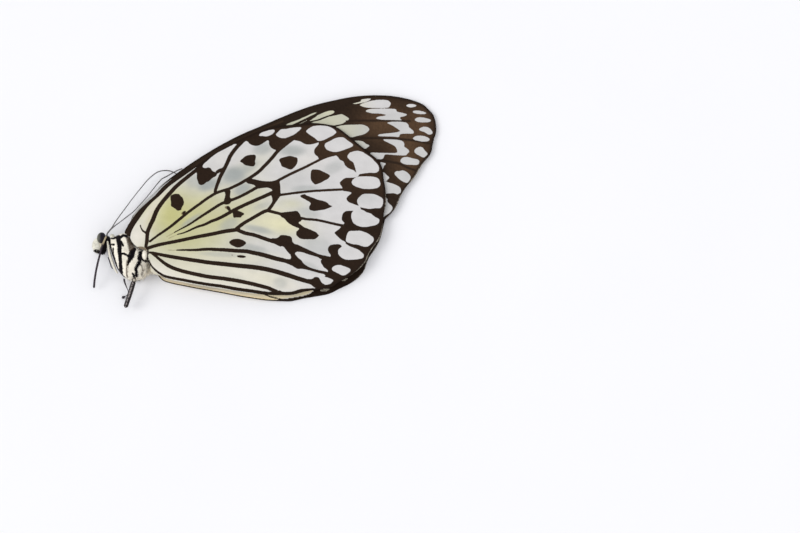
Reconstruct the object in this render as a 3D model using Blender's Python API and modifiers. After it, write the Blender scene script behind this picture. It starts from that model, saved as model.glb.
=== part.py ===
"""A dried white and black butterfly, lying on its right side with its wings folded together.

X runs from the head to the wing tips, Y from the belly to the wings' front edge, Z up.
Outline points are in millimetres, read by eye at the level of the upper hindwing.
"""
import math

import bmesh
import bpy
from mathutils import Vector

MM = 0.001

# where the outline points were read from: the eye point of the photo
EYE_POINT = (28.9, -118.7, 318.6)
# moves the finished specimen so that its box is centred on the origin
CENTRE_SHIFT = (0.074, 0.163)

ROOT = (-25.6, -11.2)
SHEET_THICKNESS = 0.2
LAYER_STEP = 0.5
CUT_SPACING = 2.5
MERGE_DISTANCE = 0.4

# the stack of wings: how high its middle lies, far from the body and close to it
FAR_HEIGHT = 1.12
ROOT_RISE = 2.0
ROOT_RISE_RADIUS = 24.0
ROOT_SPREAD = 1.1
ROOT_SPREAD_RADIUS = 7.0
RIPPLE = 0.12
RIPPLE_X = 7.5
RIPPLE_Y = 6.0

# the bulge of both hindwings over the abdomen
BELLY_LIFT = 0.76
BELLY_WIDTH = 2.4
BELLY_START = -25.0
BELLY_END = -3.0
BELLY_FADE = 5.0

# the corner of the upper hindwing that stands off, and the drooping ends that touch the ground
CORNER = (20.0, -14.0)
CORNER_LIFT = 0.45
CORNER_RADIUS = 8.0
APEX = (36.0, 19.0)
APEX_DROOP = 0.86
APEX_RADIUS = 14.0
LOW_EDGE = (10.0, -21.0)
LOW_EDGE_DROOP = 0.3
LOW_EDGE_RADIUS = 12.0

# how the wings underneath are turned and moved, so that their edges show
RIGHT_HIND_TURN = math.radians(-1.6)
RIGHT_FORE_TURN = math.radians(-0.35)
RIGHT_FORE_SHIFT = (-0.35, 0.55)

LEFT_HIND_OUTLINE = [
    (-25.0, -13.3), (-26.6, -12.7), (-27.9, -11.6), (-28.6, -10.4), (-28.5, -8.9),
    (-27.8, -7.2), (-26.9, -5.6), (-25.8, -3.6), (-24.6, -1.9), (-23.0, -0.2),
    (-21.2, 1.9), (-18.9, 3.9), (-16.8, 5.6), (-14.7, 7.4), (-12.6, 9.1),
    (-10.5, 10.7), (-8.4, 12.1), (-6.3, 13.4), (-4.1, 14.6), (-1.9, 15.6),
    (0.5, 16.4), (3.7, 16.95), (7.0, 17.25), (10.0, 17.5), (13.0, 17.1),
    (15.2, 16.35), (17.0, 14.95), (20.0, 12.3), (22.3, 10.3), (24.0, 8.8),
    (25.0, 6.95), (25.3, 4.45), (25.7, 1.8), (25.85, -1.2), (25.4, -3.7),
    (25.2, -6.0), (24.95, -8.0), (24.2, -9.85), (23.0, -11.55), (22.2, -13.0),
    (21.45, -14.7), (20.2, -16.25), (18.5, -17.65), (16.15, -19.05), (13.95, -20.5),
    (11.2, -20.95), (8.75, -21.4), (6.0, -22.1), (3.9, -22.15), (0.7, -22.1),
    (-2.55, -21.75), (-5.8, -21.35), (-9.0, -20.8), (-13.9, -20.15), (-17.1, -19.6),
    (-19.5, -19.2), (-21.4, -18.65), (-23.2, -17.5), (-24.3, -16.2), (-24.8, -14.7),
]
RIGHT_HIND_BASE = [(-24.7, -13.0), (-25.8, -12.0), (-26.8, -10.6), (-27.3, -9.0), (-27.1, -7.2)]
RIGHT_HIND_END = [(-22.7, -17.9), (-23.7, -16.6), (-24.2, -15.2), (-24.6, -14.0)]

LEFT_FORE_OUTLINE = [
    (-25.2, -12.3), (-26.5, -11.5), (-28.0, -10.3), (-29.5, -9.1), (-29.4, -8.0),
    (-28.5, -6.0), (-27.5, -4.0), (-26.0, -2.0), (-24.2, 0.0), (-22.6, 2.0),
    (-20.6, 3.9), (-18.1, 6.0), (-15.5, 8.1), (-12.5, 10.3), (-10.0, 12.0),
    (-6.0, 14.4), (-2.0, 16.35), (2.0, 18.3), (6.0, 20.15), (10.0, 21.7),
    (14.0, 22.8), (18.0, 23.7), (22.0, 24.15), (26.0, 24.15), (28.0, 23.9),
    (30.0, 23.5), (32.0, 22.9), (34.0, 22.0), (35.0, 21.0), (36.0, 19.9),
    (36.8, 17.6), (36.8, 15.0), (36.2, 12.9), (35.9, 11.1), (34.95, 9.3),
    (33.2, 6.8), (31.95, 4.6), (30.0, 2.1), (28.85, -0.1), (27.9, -2.4),
    (26.35, -4.3), (25.2, -5.2), (22.0, -5.9), (17.0, -7.1), (10.0, -8.7),
    (2.5, -10.2), (-5.0, -11.5), (-12.5, -12.6), (-20.0, -13.1), (-24.2, -12.9),
]
RIGHT_FORE_BASE = [(-24.7, -12.4), (-25.8, -11.4), (-26.9, -10.1), (-28.0, -8.4), (-28.4, -7.2)]

THORAX_OUTLINE = [
    (-24.4, -16.8), (-24.5, -15.5), (-25.2, -14.2), (-26.3, -13.2), (-27.5, -12.4),
    (-28.3, -11.1), (-29.1, -9.7), (-30.3, -9.5), (-31.8, -10.0), (-32.8, -10.3),
    (-33.1, -11.4), (-32.7, -12.9), (-32.2, -14.4), (-31.6, -16.0), (-30.9, -17.4),
    (-29.9, -18.5), (-28.6, -19.3), (-27.0, -19.3), (-25.7, -18.9), (-24.9, -18.0),
]
THORAX_CENTRE = (-29.0, -14.6)
THORAX_MIDDLE = 2.3
THORAX_HALF = 2.9
THORAX_LEVELS = 10

# the abdomen along its axis: distance from the thorax, half width, half thickness
ABDOMEN_START = (-24.35, -16.3)
ABDOMEN_END = (-1.0, -17.0)
ABDOMEN_SAG = -0.5
ABDOMEN_RINGS = [
    (0.0, 0.7, 0.5), (0.04, 1.2, 0.8), (0.14, 1.5, 0.95), (0.32, 1.6, 1.0), (0.52, 1.55, 0.95),
    (0.70, 1.4, 0.85), (0.85, 1.1, 0.7), (0.95, 0.75, 0.5), (1.0, 0.35, 0.25),
]
ABDOMEN_SIDES = 10

HEAD_CENTRE = (-34.55, -11.2)
HEAD_MIDDLE = 2.6
HEAD_RADII = (1.05, 1.5, 1.35)
EYE_CENTRE = (-35.15, -10.0)
EYE_RADII = (0.85, 1.15, 0.72)
EYE_OFFSET = 1.22
SOCKET_MARGIN = 0.2
PALP_CENTRE = (-36.3, -11.9)
PALP_RADII = (0.42, 1.15, 0.42)
PALP_OFFSET = 0.6
PALP_LEAN = math.radians(-14.0)
FORELEG_CENTRE = (-34.15, -13.85)
FORELEG_RADII = (0.4, 0.7, 0.55)
FORELEG_HEIGHT = 1.55
FORELEG_LEAN = math.radians(18.0)

# antennae and legs: points read by eye, each with its height above the ground
LEFT_ANTENNA = [
    (-33.75, -8.95, 4.3), (-32.6, -7.6, 4.3), (-31.0, -6.3, 4.2), (-28.5, -4.1, 4.0),
    (-27.3, -2.6, 3.9), (-25.9, -0.7, 3.7), (-24.6, 1.3, 3.5), (-23.6, 2.8, 3.4),
    (-22.8, 3.8, 3.3), (-21.8, 4.4, 3.2), (-20.8, 5.1, 3.2), (-19.6, 5.85, 3.3), (-18.45, 6.35, 3.4),
]
RIGHT_ANTENNA = [
    (-33.8, -8.8, 2.3), (-32.9, -7.7, 2.3), (-32.0, -6.0, 2.2), (-30.4, -3.4, 2.0),
    (-28.5, -0.3, 1.8), (-26.9, 2.1, 1.7), (-26.0, 3.4, 1.6), (-24.8, 4.7, 1.5),
    (-23.7, 5.5, 1.4), (-22.5, 5.8, 1.4), (-21.3, 5.75, 1.3), (-20.3, 5.35, 1.3), (-19.75, 5.1, 1.3),
]
ANTENNA_RADIUS = 0.11
ANTENNA_TIP = 1.35
LEFT_MID_FEMUR = [(-31.65, -17.1, 2.9), (-32.35, -15.2, 3.1), (-33.05, -13.2, 3.4), (-33.55, -11.4, 3.9)]
LEFT_MID_FEMUR_RADIUS = 0.26
LEFT_MID_TIBIA = [
    (-34.0, -9.6, 4.7), (-34.7, -11.6, 4.7), (-35.05, -13.2, 4.3), (-35.5, -15.5, 3.3),
    (-35.8, -17.4, 2.5), (-36.0, -19.4, 1.7), (-36.05, -21.05, 1.1),
]
LEFT_MID_TIBIA_RADIUS = 0.19
RIGHT_MID_TIBIA = [(-33.35, -14.3, 1.0), (-32.9, -15.4, 0.8), (-32.6, -16.3, 0.6), (-32.2, -16.95, 0.4)]
RIGHT_MID_TIBIA_RADIUS = 0.12
LEFT_HIND_FEMUR = [(-27.55, -20.0, 3.0), (-28.05, -21.75, 2.7), (-28.5, -23.8, 2.2), (-28.95, -25.35, 1.8)]
LEFT_HIND_FEMUR_RADIUS = 0.4
RIGHT_HIND_TIBIA = [
    (-29.65, -19.6, 0.9), (-29.4, -20.3, 0.8), (-29.05, -21.2, 0.7), (-28.95, -21.9, 0.6),
    (-29.1, -22.5, 0.5), (-29.55, -22.95, 0.4), (-29.8, -23.05, 0.4),
]
RIGHT_HIND_TIBIA_RADIUS = 0.14
RIGHT_HIND_TIP = 2.0

COLOURS = {
    "left_hindwing": (0.62, 0.61, 0.47),
    "left_forewing": (0.10, 0.07, 0.05),
    "right_forewing": (0.12, 0.09, 0.06),
    "right_hindwing": (0.60, 0.56, 0.42),
    "thorax": (0.30, 0.28, 0.24),
    "abdomen": (0.62, 0.58, 0.48),
    "head": (0.05, 0.045, 0.04),
    "left_eye": (0.05, 0.05, 0.055),
    "right_eye": (0.05, 0.05, 0.055),
    "left_palp": (0.70, 0.68, 0.60),
    "right_palp": (0.70, 0.68, 0.60),
    "forelegs": (0.02, 0.018, 0.016),
    "left_antenna": (0.10, 0.10, 0.10),
    "right_antenna": (0.10, 0.10, 0.10),
    "left_mid_femur": (0.45, 0.42, 0.36),
    "left_mid_tibia": (0.02, 0.018, 0.02),
    "right_mid_tibia": (0.03, 0.028, 0.03),
    "left_hind_femur": (0.06, 0.055, 0.05),
    "right_hind_tibia": (0.03, 0.028, 0.03),
}


def falloff(x, y, centre, radius):
    """A smooth hump: 1 at the centre, 0 far away."""
    square = (x - centre[0]) ** 2 + (y - centre[1]) ** 2
    return math.exp(-square / radius ** 2)


def reading_height(x, y):
    """Level at which the outline points were read."""
    return 1.75 + 2.1 * falloff(x, y, ROOT, 24.0) + 1.1 * falloff(x, y, ROOT, 7.0)


def middle(x, y):
    """Level of the middle of the stack of wings."""
    ripple = RIPPLE * math.sin(x / RIPPLE_X) * math.cos(y / RIPPLE_Y)
    droop = APEX_DROOP * falloff(x, y, APEX, APEX_RADIUS)
    return FAR_HEIGHT + ROOT_RISE * falloff(x, y, ROOT, ROOT_RISE_RADIUS) + ripple - droop


def spread(x, y):
    """How much further apart the wings lie at their root."""
    return ROOT_SPREAD * falloff(x, y, ROOT, ROOT_SPREAD_RADIUS)


def abdomen_axis(share):
    """A point on the abdomen's axis, seen from above."""
    x = ABDOMEN_START[0] + (ABDOMEN_END[0] - ABDOMEN_START[0]) * share
    y = ABDOMEN_START[1] + (ABDOMEN_END[1] - ABDOMEN_START[1]) * share
    return x, y + ABDOMEN_SAG * math.sin(math.pi * share)


def belly(x, y):
    """How far a hindwing bulges over the abdomen."""
    share = (x - ABDOMEN_START[0]) / (ABDOMEN_END[0] - ABDOMEN_START[0])
    axis_y = abdomen_axis(min(max(share, 0.0), 1.0))[1]
    along = 1.0
    if x > BELLY_END:
        along = math.exp(-((x - BELLY_END) / BELLY_FADE) ** 2)
    if x < BELLY_START:
        along = math.exp(-((x - BELLY_START) / BELLY_FADE) ** 2)
    return BELLY_LIFT * along * math.exp(-((y - axis_y) / BELLY_WIDTH) ** 2)


def left_hind_height(x, y):
    lift = CORNER_LIFT * falloff(x, y, CORNER, CORNER_RADIUS)
    return middle(x, y) + 1.5 * LAYER_STEP + spread(x, y) + belly(x, y) + lift


def left_fore_height(x, y):
    return middle(x, y) + 0.5 * LAYER_STEP + spread(x, y)


def right_fore_height(x, y):
    return middle(x, y) - 0.5 * LAYER_STEP - spread(x, y)


def right_hind_height(x, y):
    droop = LOW_EDGE_DROOP * falloff(x, y, LOW_EDGE, LOW_EDGE_RADIUS)
    return middle(x, y) - 1.5 * LAYER_STEP - spread(x, y) - belly(x, y) - droop


def seen(x, y, z):
    """Move a point read by eye along the line of sight to height z."""
    share = (EYE_POINT[2] - z) / (EYE_POINT[2] - reading_height(x, y))
    return EYE_POINT[0] + (x - EYE_POINT[0]) * share, EYE_POINT[1] + (y - EYE_POINT[1]) * share, z


def place(x, y, z):
    """A point in millimetres, as the scene's vector in metres."""
    return Vector(((x + CENTRE_SHIFT[0]) * MM, (y + CENTRE_SHIFT[1]) * MM, z * MM))


def turned(point, angle, shift=(0.0, 0.0)):
    """Turn a point about the wing root and move it."""
    dx = point[0] - ROOT[0]
    dy = point[1] - ROOT[1]
    x = ROOT[0] + dx * math.cos(angle) - dy * math.sin(angle) + shift[0]
    y = ROOT[1] + dx * math.sin(angle) + dy * math.cos(angle) + shift[1]
    return x, y


def material_for(name):
    material = bpy.data.materials.new(name)
    material.use_nodes = True
    shader = material.node_tree.nodes["Principled BSDF"]
    shader.inputs["Base Color"].default_value = (*COLOURS[name], 1.0)
    shader.inputs["Roughness"].default_value = 0.7
    return material


def add_object(name, data, collection):
    made = bpy.data.objects.new(name, data)
    collection.objects.link(made)
    return made


def wing(name, outline, height, collection):
    """Fill a flat outline, cut it along a grid, lift it to its height and give it a thickness."""
    curve = bpy.data.curves.new(name + "_outline", "CURVE")
    curve.dimensions = "2D"
    curve.fill_mode = "BOTH"
    spline = curve.splines.new("POLY")
    spline.points.add(len(outline) - 1)
    for point, (x, y) in zip(spline.points, outline):
        point.co = (x, y, 0.0, 1.0)
    spline.use_cyclic_u = True
    flat = add_object(name + "_flat", curve, collection)
    bpy.context.view_layer.update()
    flat_mesh = flat.to_mesh()
    cells = bmesh.new()
    cells.from_mesh(flat_mesh)
    flat.to_mesh_clear()
    bpy.data.objects.remove(flat)
    bmesh.ops.dissolve_faces(cells, faces=cells.faces[:])
    for axis in (0, 1):
        low = min(point[axis] for point in outline)
        high = max(point[axis] for point in outline)
        for step in range(math.ceil(low / CUT_SPACING), math.floor(high / CUT_SPACING) + 1):
            normal = Vector((1.0, 0.0, 0.0)) if axis == 0 else Vector((0.0, 1.0, 0.0))
            everything = cells.verts[:] + cells.edges[:] + cells.faces[:]
            bmesh.ops.bisect_plane(cells, geom=everything, plane_co=normal * step * CUT_SPACING, plane_no=normal)
    bmesh.ops.remove_doubles(cells, verts=cells.verts[:], dist=MERGE_DISTANCE)
    bmesh.ops.triangulate(cells, faces=cells.faces[:])
    for vert in cells.verts:
        x, y = vert.co.x, vert.co.y
        vert.co = place(x, y, height(x, y))
    bmesh.ops.recalc_face_normals(cells, faces=cells.faces[:])
    mesh = bpy.data.meshes.new(name)
    cells.to_mesh(mesh)
    cells.free()
    made = add_object(name, mesh, collection)
    solid = made.modifiers.new("thickness", "SOLIDIFY")
    solid.thickness = SHEET_THICKNESS * MM
    solid.offset = 0.0
    mesh.materials.append(material_for(name))
    return made


def blob(name, centre, radii, collection, lean=0.0, segments=14, rings=10):
    """An egg-shaped body, leaning in plan."""
    mesh = bpy.data.meshes.new(name)
    shape = bmesh.new()
    bmesh.ops.create_uvsphere(shape, u_segments=segments, v_segments=rings, radius=1.0)
    for vert in shape.verts:
        x, y, z = (vert.co[axis] * radii[axis] for axis in range(3))
        turned_x = x * math.cos(lean) - y * math.sin(lean)
        turned_y = x * math.sin(lean) + y * math.cos(lean)
        vert.co = place(centre[0] + turned_x, centre[1] + turned_y, centre[2] + z)
    shape.to_mesh(mesh)
    shape.free()
    return add_object(name, mesh, collection)


def finished_blob(name, centre, radii, collection, **options):
    made = blob(name, centre, radii, collection, **options)
    made.data.materials.append(material_for(name))
    return made


def thorax(collection):
    """A pillow over its outline, pressed flat where it lies on the ground."""
    outline = [seen(x, y, THORAX_MIDDLE) for x, y in THORAX_OUTLINE]
    centre = seen(*THORAX_CENTRE, THORAX_MIDDLE)
    count = len(outline)
    mesh = bpy.data.meshes.new("thorax")
    shape = bmesh.new()
    bmesh.ops.create_uvsphere(shape, u_segments=count, v_segments=THORAX_LEVELS, radius=1.0)
    for vert in shape.verts:
        reach = math.hypot(vert.co.x, vert.co.y)
        index = round(math.atan2(vert.co.y, vert.co.x) / (2.0 * math.pi) * count) % count
        x = centre[0] + (outline[index][0] - centre[0]) * reach
        y = centre[1] + (outline[index][1] - centre[1]) * reach
        z = THORAX_MIDDLE + THORAX_HALF * vert.co.z
        vert.co = place(x, y, max(z, 0.0))
    shape.to_mesh(mesh)
    shape.free()
    mesh.materials.append(material_for("thorax"))
    return add_object("thorax", mesh, collection)


def abdomen(collection):
    """A tapering body of rings along a slightly bent axis."""
    mesh = bpy.data.meshes.new("abdomen")
    shape = bmesh.new()
    rings = len(ABDOMEN_RINGS)
    bmesh.ops.create_cone(
        shape, cap_ends=True, segments=ABDOMEN_SIDES, radius1=1.0, radius2=1.0, depth=1.0)
    for step in range(1, rings - 1):
        everything = shape.verts[:] + shape.edges[:] + shape.faces[:]
        level = Vector((0.0, 0.0, step / (rings - 1) - 0.5))
        bmesh.ops.bisect_plane(shape, geom=everything, plane_co=level, plane_no=(0.0, 0.0, 1.0))
    for vert in shape.verts:
        ring = ABDOMEN_RINGS[round((vert.co.z + 0.5) * (rings - 1))]
        x, y = abdomen_axis(ring[0])
        vert.co = place(x, y + vert.co.x * ring[1], middle(x, y) + vert.co.y * ring[2])
    bmesh.ops.recalc_face_normals(shape, faces=shape.faces[:])
    shape.to_mesh(mesh)
    shape.free()
    mesh.materials.append(material_for("abdomen"))
    return add_object("abdomen", mesh, collection)


def head(collection, cutters):
    """The head, with a hollow on each side that an eye sits in."""
    x, y, z = seen(*HEAD_CENTRE, HEAD_MIDDLE)
    made = finished_blob("head", (x, y, z), HEAD_RADII, collection)
    for side, sign in (("left", 1.0), ("right", -1.0)):
        level = HEAD_MIDDLE + sign * EYE_OFFSET
        eye_x, eye_y = EYE_AT
        finished_blob(side + "_eye", (eye_x, eye_y, level), EYE_RADII, collection)
        socket_radii = [radius + SOCKET_MARGIN for radius in EYE_RADII]
        socket = blob(side + "_socket", (eye_x, eye_y, level), socket_radii, cutters)
        socket.hide_render = True
        socket.display_type = "WIRE"
        cut = made.modifiers.new(side + "_socket", "BOOLEAN")
        cut.operation = "DIFFERENCE"
        cut.solver = "EXACT"
        cut.object = socket
    return made


def tube(name, points, radius, collection, tip=1.0):
    """A round rod through points read by eye; its last points may be thicker."""
    curve = bpy.data.curves.new(name, "CURVE")
    curve.dimensions = "3D"
    curve.bevel_depth = radius * MM
    curve.bevel_resolution = 1
    curve.use_fill_caps = True
    spline = curve.splines.new("POLY")
    spline.points.add(len(points) - 1)
    for index, (x, y, z) in enumerate(points):
        spline.points[index].co = (*place(*seen(x, y, z)), 1.0)
        spline.points[index].radius = tip if index >= len(points) - 2 else 1.0
    curve.materials.append(material_for(name))
    return add_object(name, curve, collection)


EYE_AT = seen(*EYE_CENTRE, HEAD_MIDDLE + EYE_OFFSET)[:2]


def build():
    for old in list(bpy.data.objects):
        bpy.data.objects.remove(old)
    specimen = bpy.data.collections.new("butterfly_specimen")
    cutters = bpy.data.collections.new("cutters")
    bpy.context.scene.collection.children.link(specimen)
    bpy.context.scene.collection.children.link(cutters)

    left_hind = [seen(x, y, left_hind_height(x, y))[:2] for x, y in LEFT_HIND_OUTLINE]
    left_fore = [seen(x, y, left_fore_height(x, y))[:2] for x, y in LEFT_FORE_OUTLINE]
    base = len(RIGHT_HIND_BASE)
    end = len(RIGHT_HIND_END)
    right_hind = RIGHT_HIND_BASE + [
        turned(point, RIGHT_HIND_TURN) for point in left_hind[base + 1:-end + 1]] + RIGHT_HIND_END
    right_fore = RIGHT_FORE_BASE + [
        turned(point, RIGHT_FORE_TURN, RIGHT_FORE_SHIFT) for point in left_fore[len(RIGHT_FORE_BASE):]]
    wing("left_hindwing", left_hind, left_hind_height, specimen)
    wing("left_forewing", left_fore, left_fore_height, specimen)
    wing("right_forewing", right_fore, right_fore_height, specimen)
    wing("right_hindwing", right_hind, right_hind_height, specimen)

    thorax(specimen)
    abdomen(specimen)
    head(specimen, cutters)
    palp_x, palp_y, palp_z = seen(*PALP_CENTRE, HEAD_MIDDLE)
    for side, sign in (("left", 1.0), ("right", -1.0)):
        centre = (palp_x, palp_y, palp_z + sign * PALP_OFFSET)
        finished_blob(side + "_palp", centre, PALP_RADII, specimen, lean=PALP_LEAN, segments=10, rings=8)
    foreleg_centre = seen(*FORELEG_CENTRE, FORELEG_HEIGHT)
    finished_blob(
        "forelegs", foreleg_centre, FORELEG_RADII, specimen, lean=FORELEG_LEAN, segments=10, rings=8)

    tube("left_antenna", LEFT_ANTENNA, ANTENNA_RADIUS, specimen, tip=ANTENNA_TIP)
    tube("right_antenna", RIGHT_ANTENNA, ANTENNA_RADIUS, specimen, tip=ANTENNA_TIP)
    tube("left_mid_femur", LEFT_MID_FEMUR, LEFT_MID_FEMUR_RADIUS, specimen)
    tube("left_mid_tibia", LEFT_MID_TIBIA, LEFT_MID_TIBIA_RADIUS, specimen)
    tube("right_mid_tibia", RIGHT_MID_TIBIA, RIGHT_MID_TIBIA_RADIUS, specimen)
    tube("left_hind_femur", LEFT_HIND_FEMUR, LEFT_HIND_FEMUR_RADIUS, specimen)
    tube("right_hind_tibia", RIGHT_HIND_TIBIA, RIGHT_HIND_TIBIA_RADIUS, specimen, tip=RIGHT_HIND_TIP)


build()
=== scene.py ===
"""A dried white and black butterfly on its side, seen from above on a white surface.

Wing and body markings are read in millimetres, at the level reading_height gives.
"""
import math

import bpy
import numpy as np
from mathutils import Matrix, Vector
from mathutils.geometry import delaunay_2d_cdt


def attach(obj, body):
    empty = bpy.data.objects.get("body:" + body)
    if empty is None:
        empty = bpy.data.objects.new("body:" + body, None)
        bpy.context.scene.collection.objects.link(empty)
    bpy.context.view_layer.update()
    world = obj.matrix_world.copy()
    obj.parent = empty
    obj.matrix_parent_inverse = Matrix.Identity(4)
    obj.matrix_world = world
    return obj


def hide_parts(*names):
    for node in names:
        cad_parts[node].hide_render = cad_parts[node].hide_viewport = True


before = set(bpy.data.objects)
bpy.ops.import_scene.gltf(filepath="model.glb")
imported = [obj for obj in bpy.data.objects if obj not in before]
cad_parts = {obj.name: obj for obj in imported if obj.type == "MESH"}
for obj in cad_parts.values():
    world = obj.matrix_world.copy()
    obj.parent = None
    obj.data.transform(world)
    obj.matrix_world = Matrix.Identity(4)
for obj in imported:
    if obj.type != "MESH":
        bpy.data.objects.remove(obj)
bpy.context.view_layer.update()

MM = 0.001
SEED = 11

# where the points were read from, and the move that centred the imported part
EYE_POINT = (28.9, -118.7, 318.6)
CENTRE_SHIFT = (0.074, 0.163)
CAMERA_ELEVATION = 72.0
LENS = 70.0
SENSOR = 36.0

# the levels of the wings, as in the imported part
ROOT = (-25.6, -11.2)
LAYER_STEP = 0.5
FAR_HEIGHT = 1.12
ROOT_RISE = 2.0
ROOT_RISE_RADIUS = 24.0
ROOT_SPREAD = 1.1
ROOT_SPREAD_RADIUS = 7.0
RIPPLE = 0.12
RIPPLE_X = 7.5
RIPPLE_Y = 6.0
BELLY_LIFT = 0.76
BELLY_WIDTH = 2.4
BELLY_START = -25.0
BELLY_END = -3.0
BELLY_FADE = 5.0
CORNER = (20.0, -14.0)
CORNER_LIFT = 0.45
CORNER_RADIUS = 8.0
APEX = (36.0, 19.0)
APEX_DROOP = 0.86
APEX_RADIUS = 14.0
LOW_EDGE = (10.0, -21.0)
LOW_EDGE_DROOP = 0.3
LOW_EDGE_RADIUS = 12.0
RIGHT_HIND_TURN = math.radians(-1.6)
RIGHT_FORE_TURN = math.radians(-0.35)
RIGHT_FORE_SHIFT = (-0.35, 0.55)

# wing sheets
SHEET_HALF = 0.06
VEIN_RISE = 0.06
VEIN_REACH = 0.3
PLEAT = 0.03
LEFT_SPACING = 0.22
RIGHT_SPACING = 0.24
FRINGE_WIDTH = 0.24
DARK_RIM = 0.3
DARK_RIM_FADE = 0.4

LEFT_HIND_OUTLINE = [
    (-25.0, -13.3), (-26.6, -12.7), (-27.9, -11.6), (-28.6, -10.4), (-28.5, -8.9),
    (-27.8, -7.2), (-26.9, -5.6), (-25.8, -3.6), (-24.6, -1.9), (-23.0, -0.2),
    (-21.2, 1.9), (-18.9, 3.9), (-16.8, 5.6), (-14.7, 7.4), (-12.6, 9.1),
    (-10.5, 10.7), (-8.4, 12.1), (-6.3, 13.4), (-4.1, 14.6), (-1.9, 15.6),
    (0.5, 16.4), (3.7, 16.95), (7.0, 17.25), (10.0, 17.5), (13.0, 17.1),
    (15.2, 16.35), (17.0, 14.95), (20.0, 12.3), (22.3, 10.3), (24.0, 8.8),
    (25.0, 6.95), (25.3, 4.45), (25.75, 1.8), (25.85, -1.2), (25.4, -3.7),
    (25.2, -6.0), (24.95, -8.0), (24.2, -9.85), (23.0, -11.55), (22.2, -13.0),
    (21.45, -14.7), (20.2, -16.25), (18.5, -17.65), (16.15, -19.05), (13.95, -20.5),
    (11.2, -20.95), (8.75, -21.4), (6.0, -22.15), (3.9, -22.25), (0.7, -22.25),
    (-2.55, -21.95), (-5.8, -21.55), (-9.0, -21.05), (-13.9, -20.35), (-17.1, -19.8),
    (-19.5, -19.35), (-21.4, -18.75), (-23.2, -17.55), (-24.3, -16.2), (-24.8, -14.7),
]
RIGHT_HIND_BASE = [(-24.7, -13.0), (-25.8, -12.0), (-26.8, -10.6), (-27.3, -9.0), (-27.1, -7.2)]
RIGHT_HIND_END = [(-22.7, -17.9), (-23.7, -16.6), (-24.2, -15.2), (-24.6, -14.0)]

LEFT_FORE_OUTLINE = [
    (-25.2, -12.3), (-26.5, -11.5), (-28.0, -10.3), (-29.9, -9.2), (-29.7, -8.0),
    (-28.75, -6.0), (-27.75, -4.0), (-26.25, -2.0), (-24.35, 0.0), (-22.7, 2.0),
    (-20.6, 3.9), (-18.1, 6.0), (-15.5, 8.1), (-12.5, 10.3), (-10.0, 12.0),
    (-6.0, 14.4), (-2.0, 16.35), (2.0, 18.3), (6.0, 20.15), (10.0, 21.7),
    (14.0, 22.8), (18.0, 23.7), (22.0, 24.15), (26.0, 24.15), (28.0, 23.9),
    (30.0, 23.5), (32.0, 22.9), (34.0, 22.0), (35.0, 21.0), (36.0, 19.9),
    (36.5, 18.9), (36.8, 17.6), (36.9, 16.1), (36.8, 15.0), (36.4, 13.9), (36.2, 12.9),
    (36.0, 12.0), (35.9, 11.1), (35.55, 10.2), (34.95, 9.3), (34.0, 8.1), (33.2, 6.8),
    (32.6, 5.7), (31.95, 4.6), (31.05, 3.5), (30.0, 2.1), (29.4, 1.0), (28.85, -0.1),
    (28.4, -1.3), (27.9, -2.4), (27.1, -3.5), (26.35, -4.3), (25.2, -5.2),
    (22.0, -5.9), (17.0, -7.1), (10.0, -8.7), (2.5, -10.2), (-5.0, -11.5),
    (-12.5, -12.6), (-20.0, -13.1), (-24.2, -12.9),
]
RIGHT_FORE_BASE = [(-24.7, -12.4), (-25.8, -11.4), (-26.9, -10.1), (-28.0, -8.4), (-28.4, -7.2)]

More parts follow.
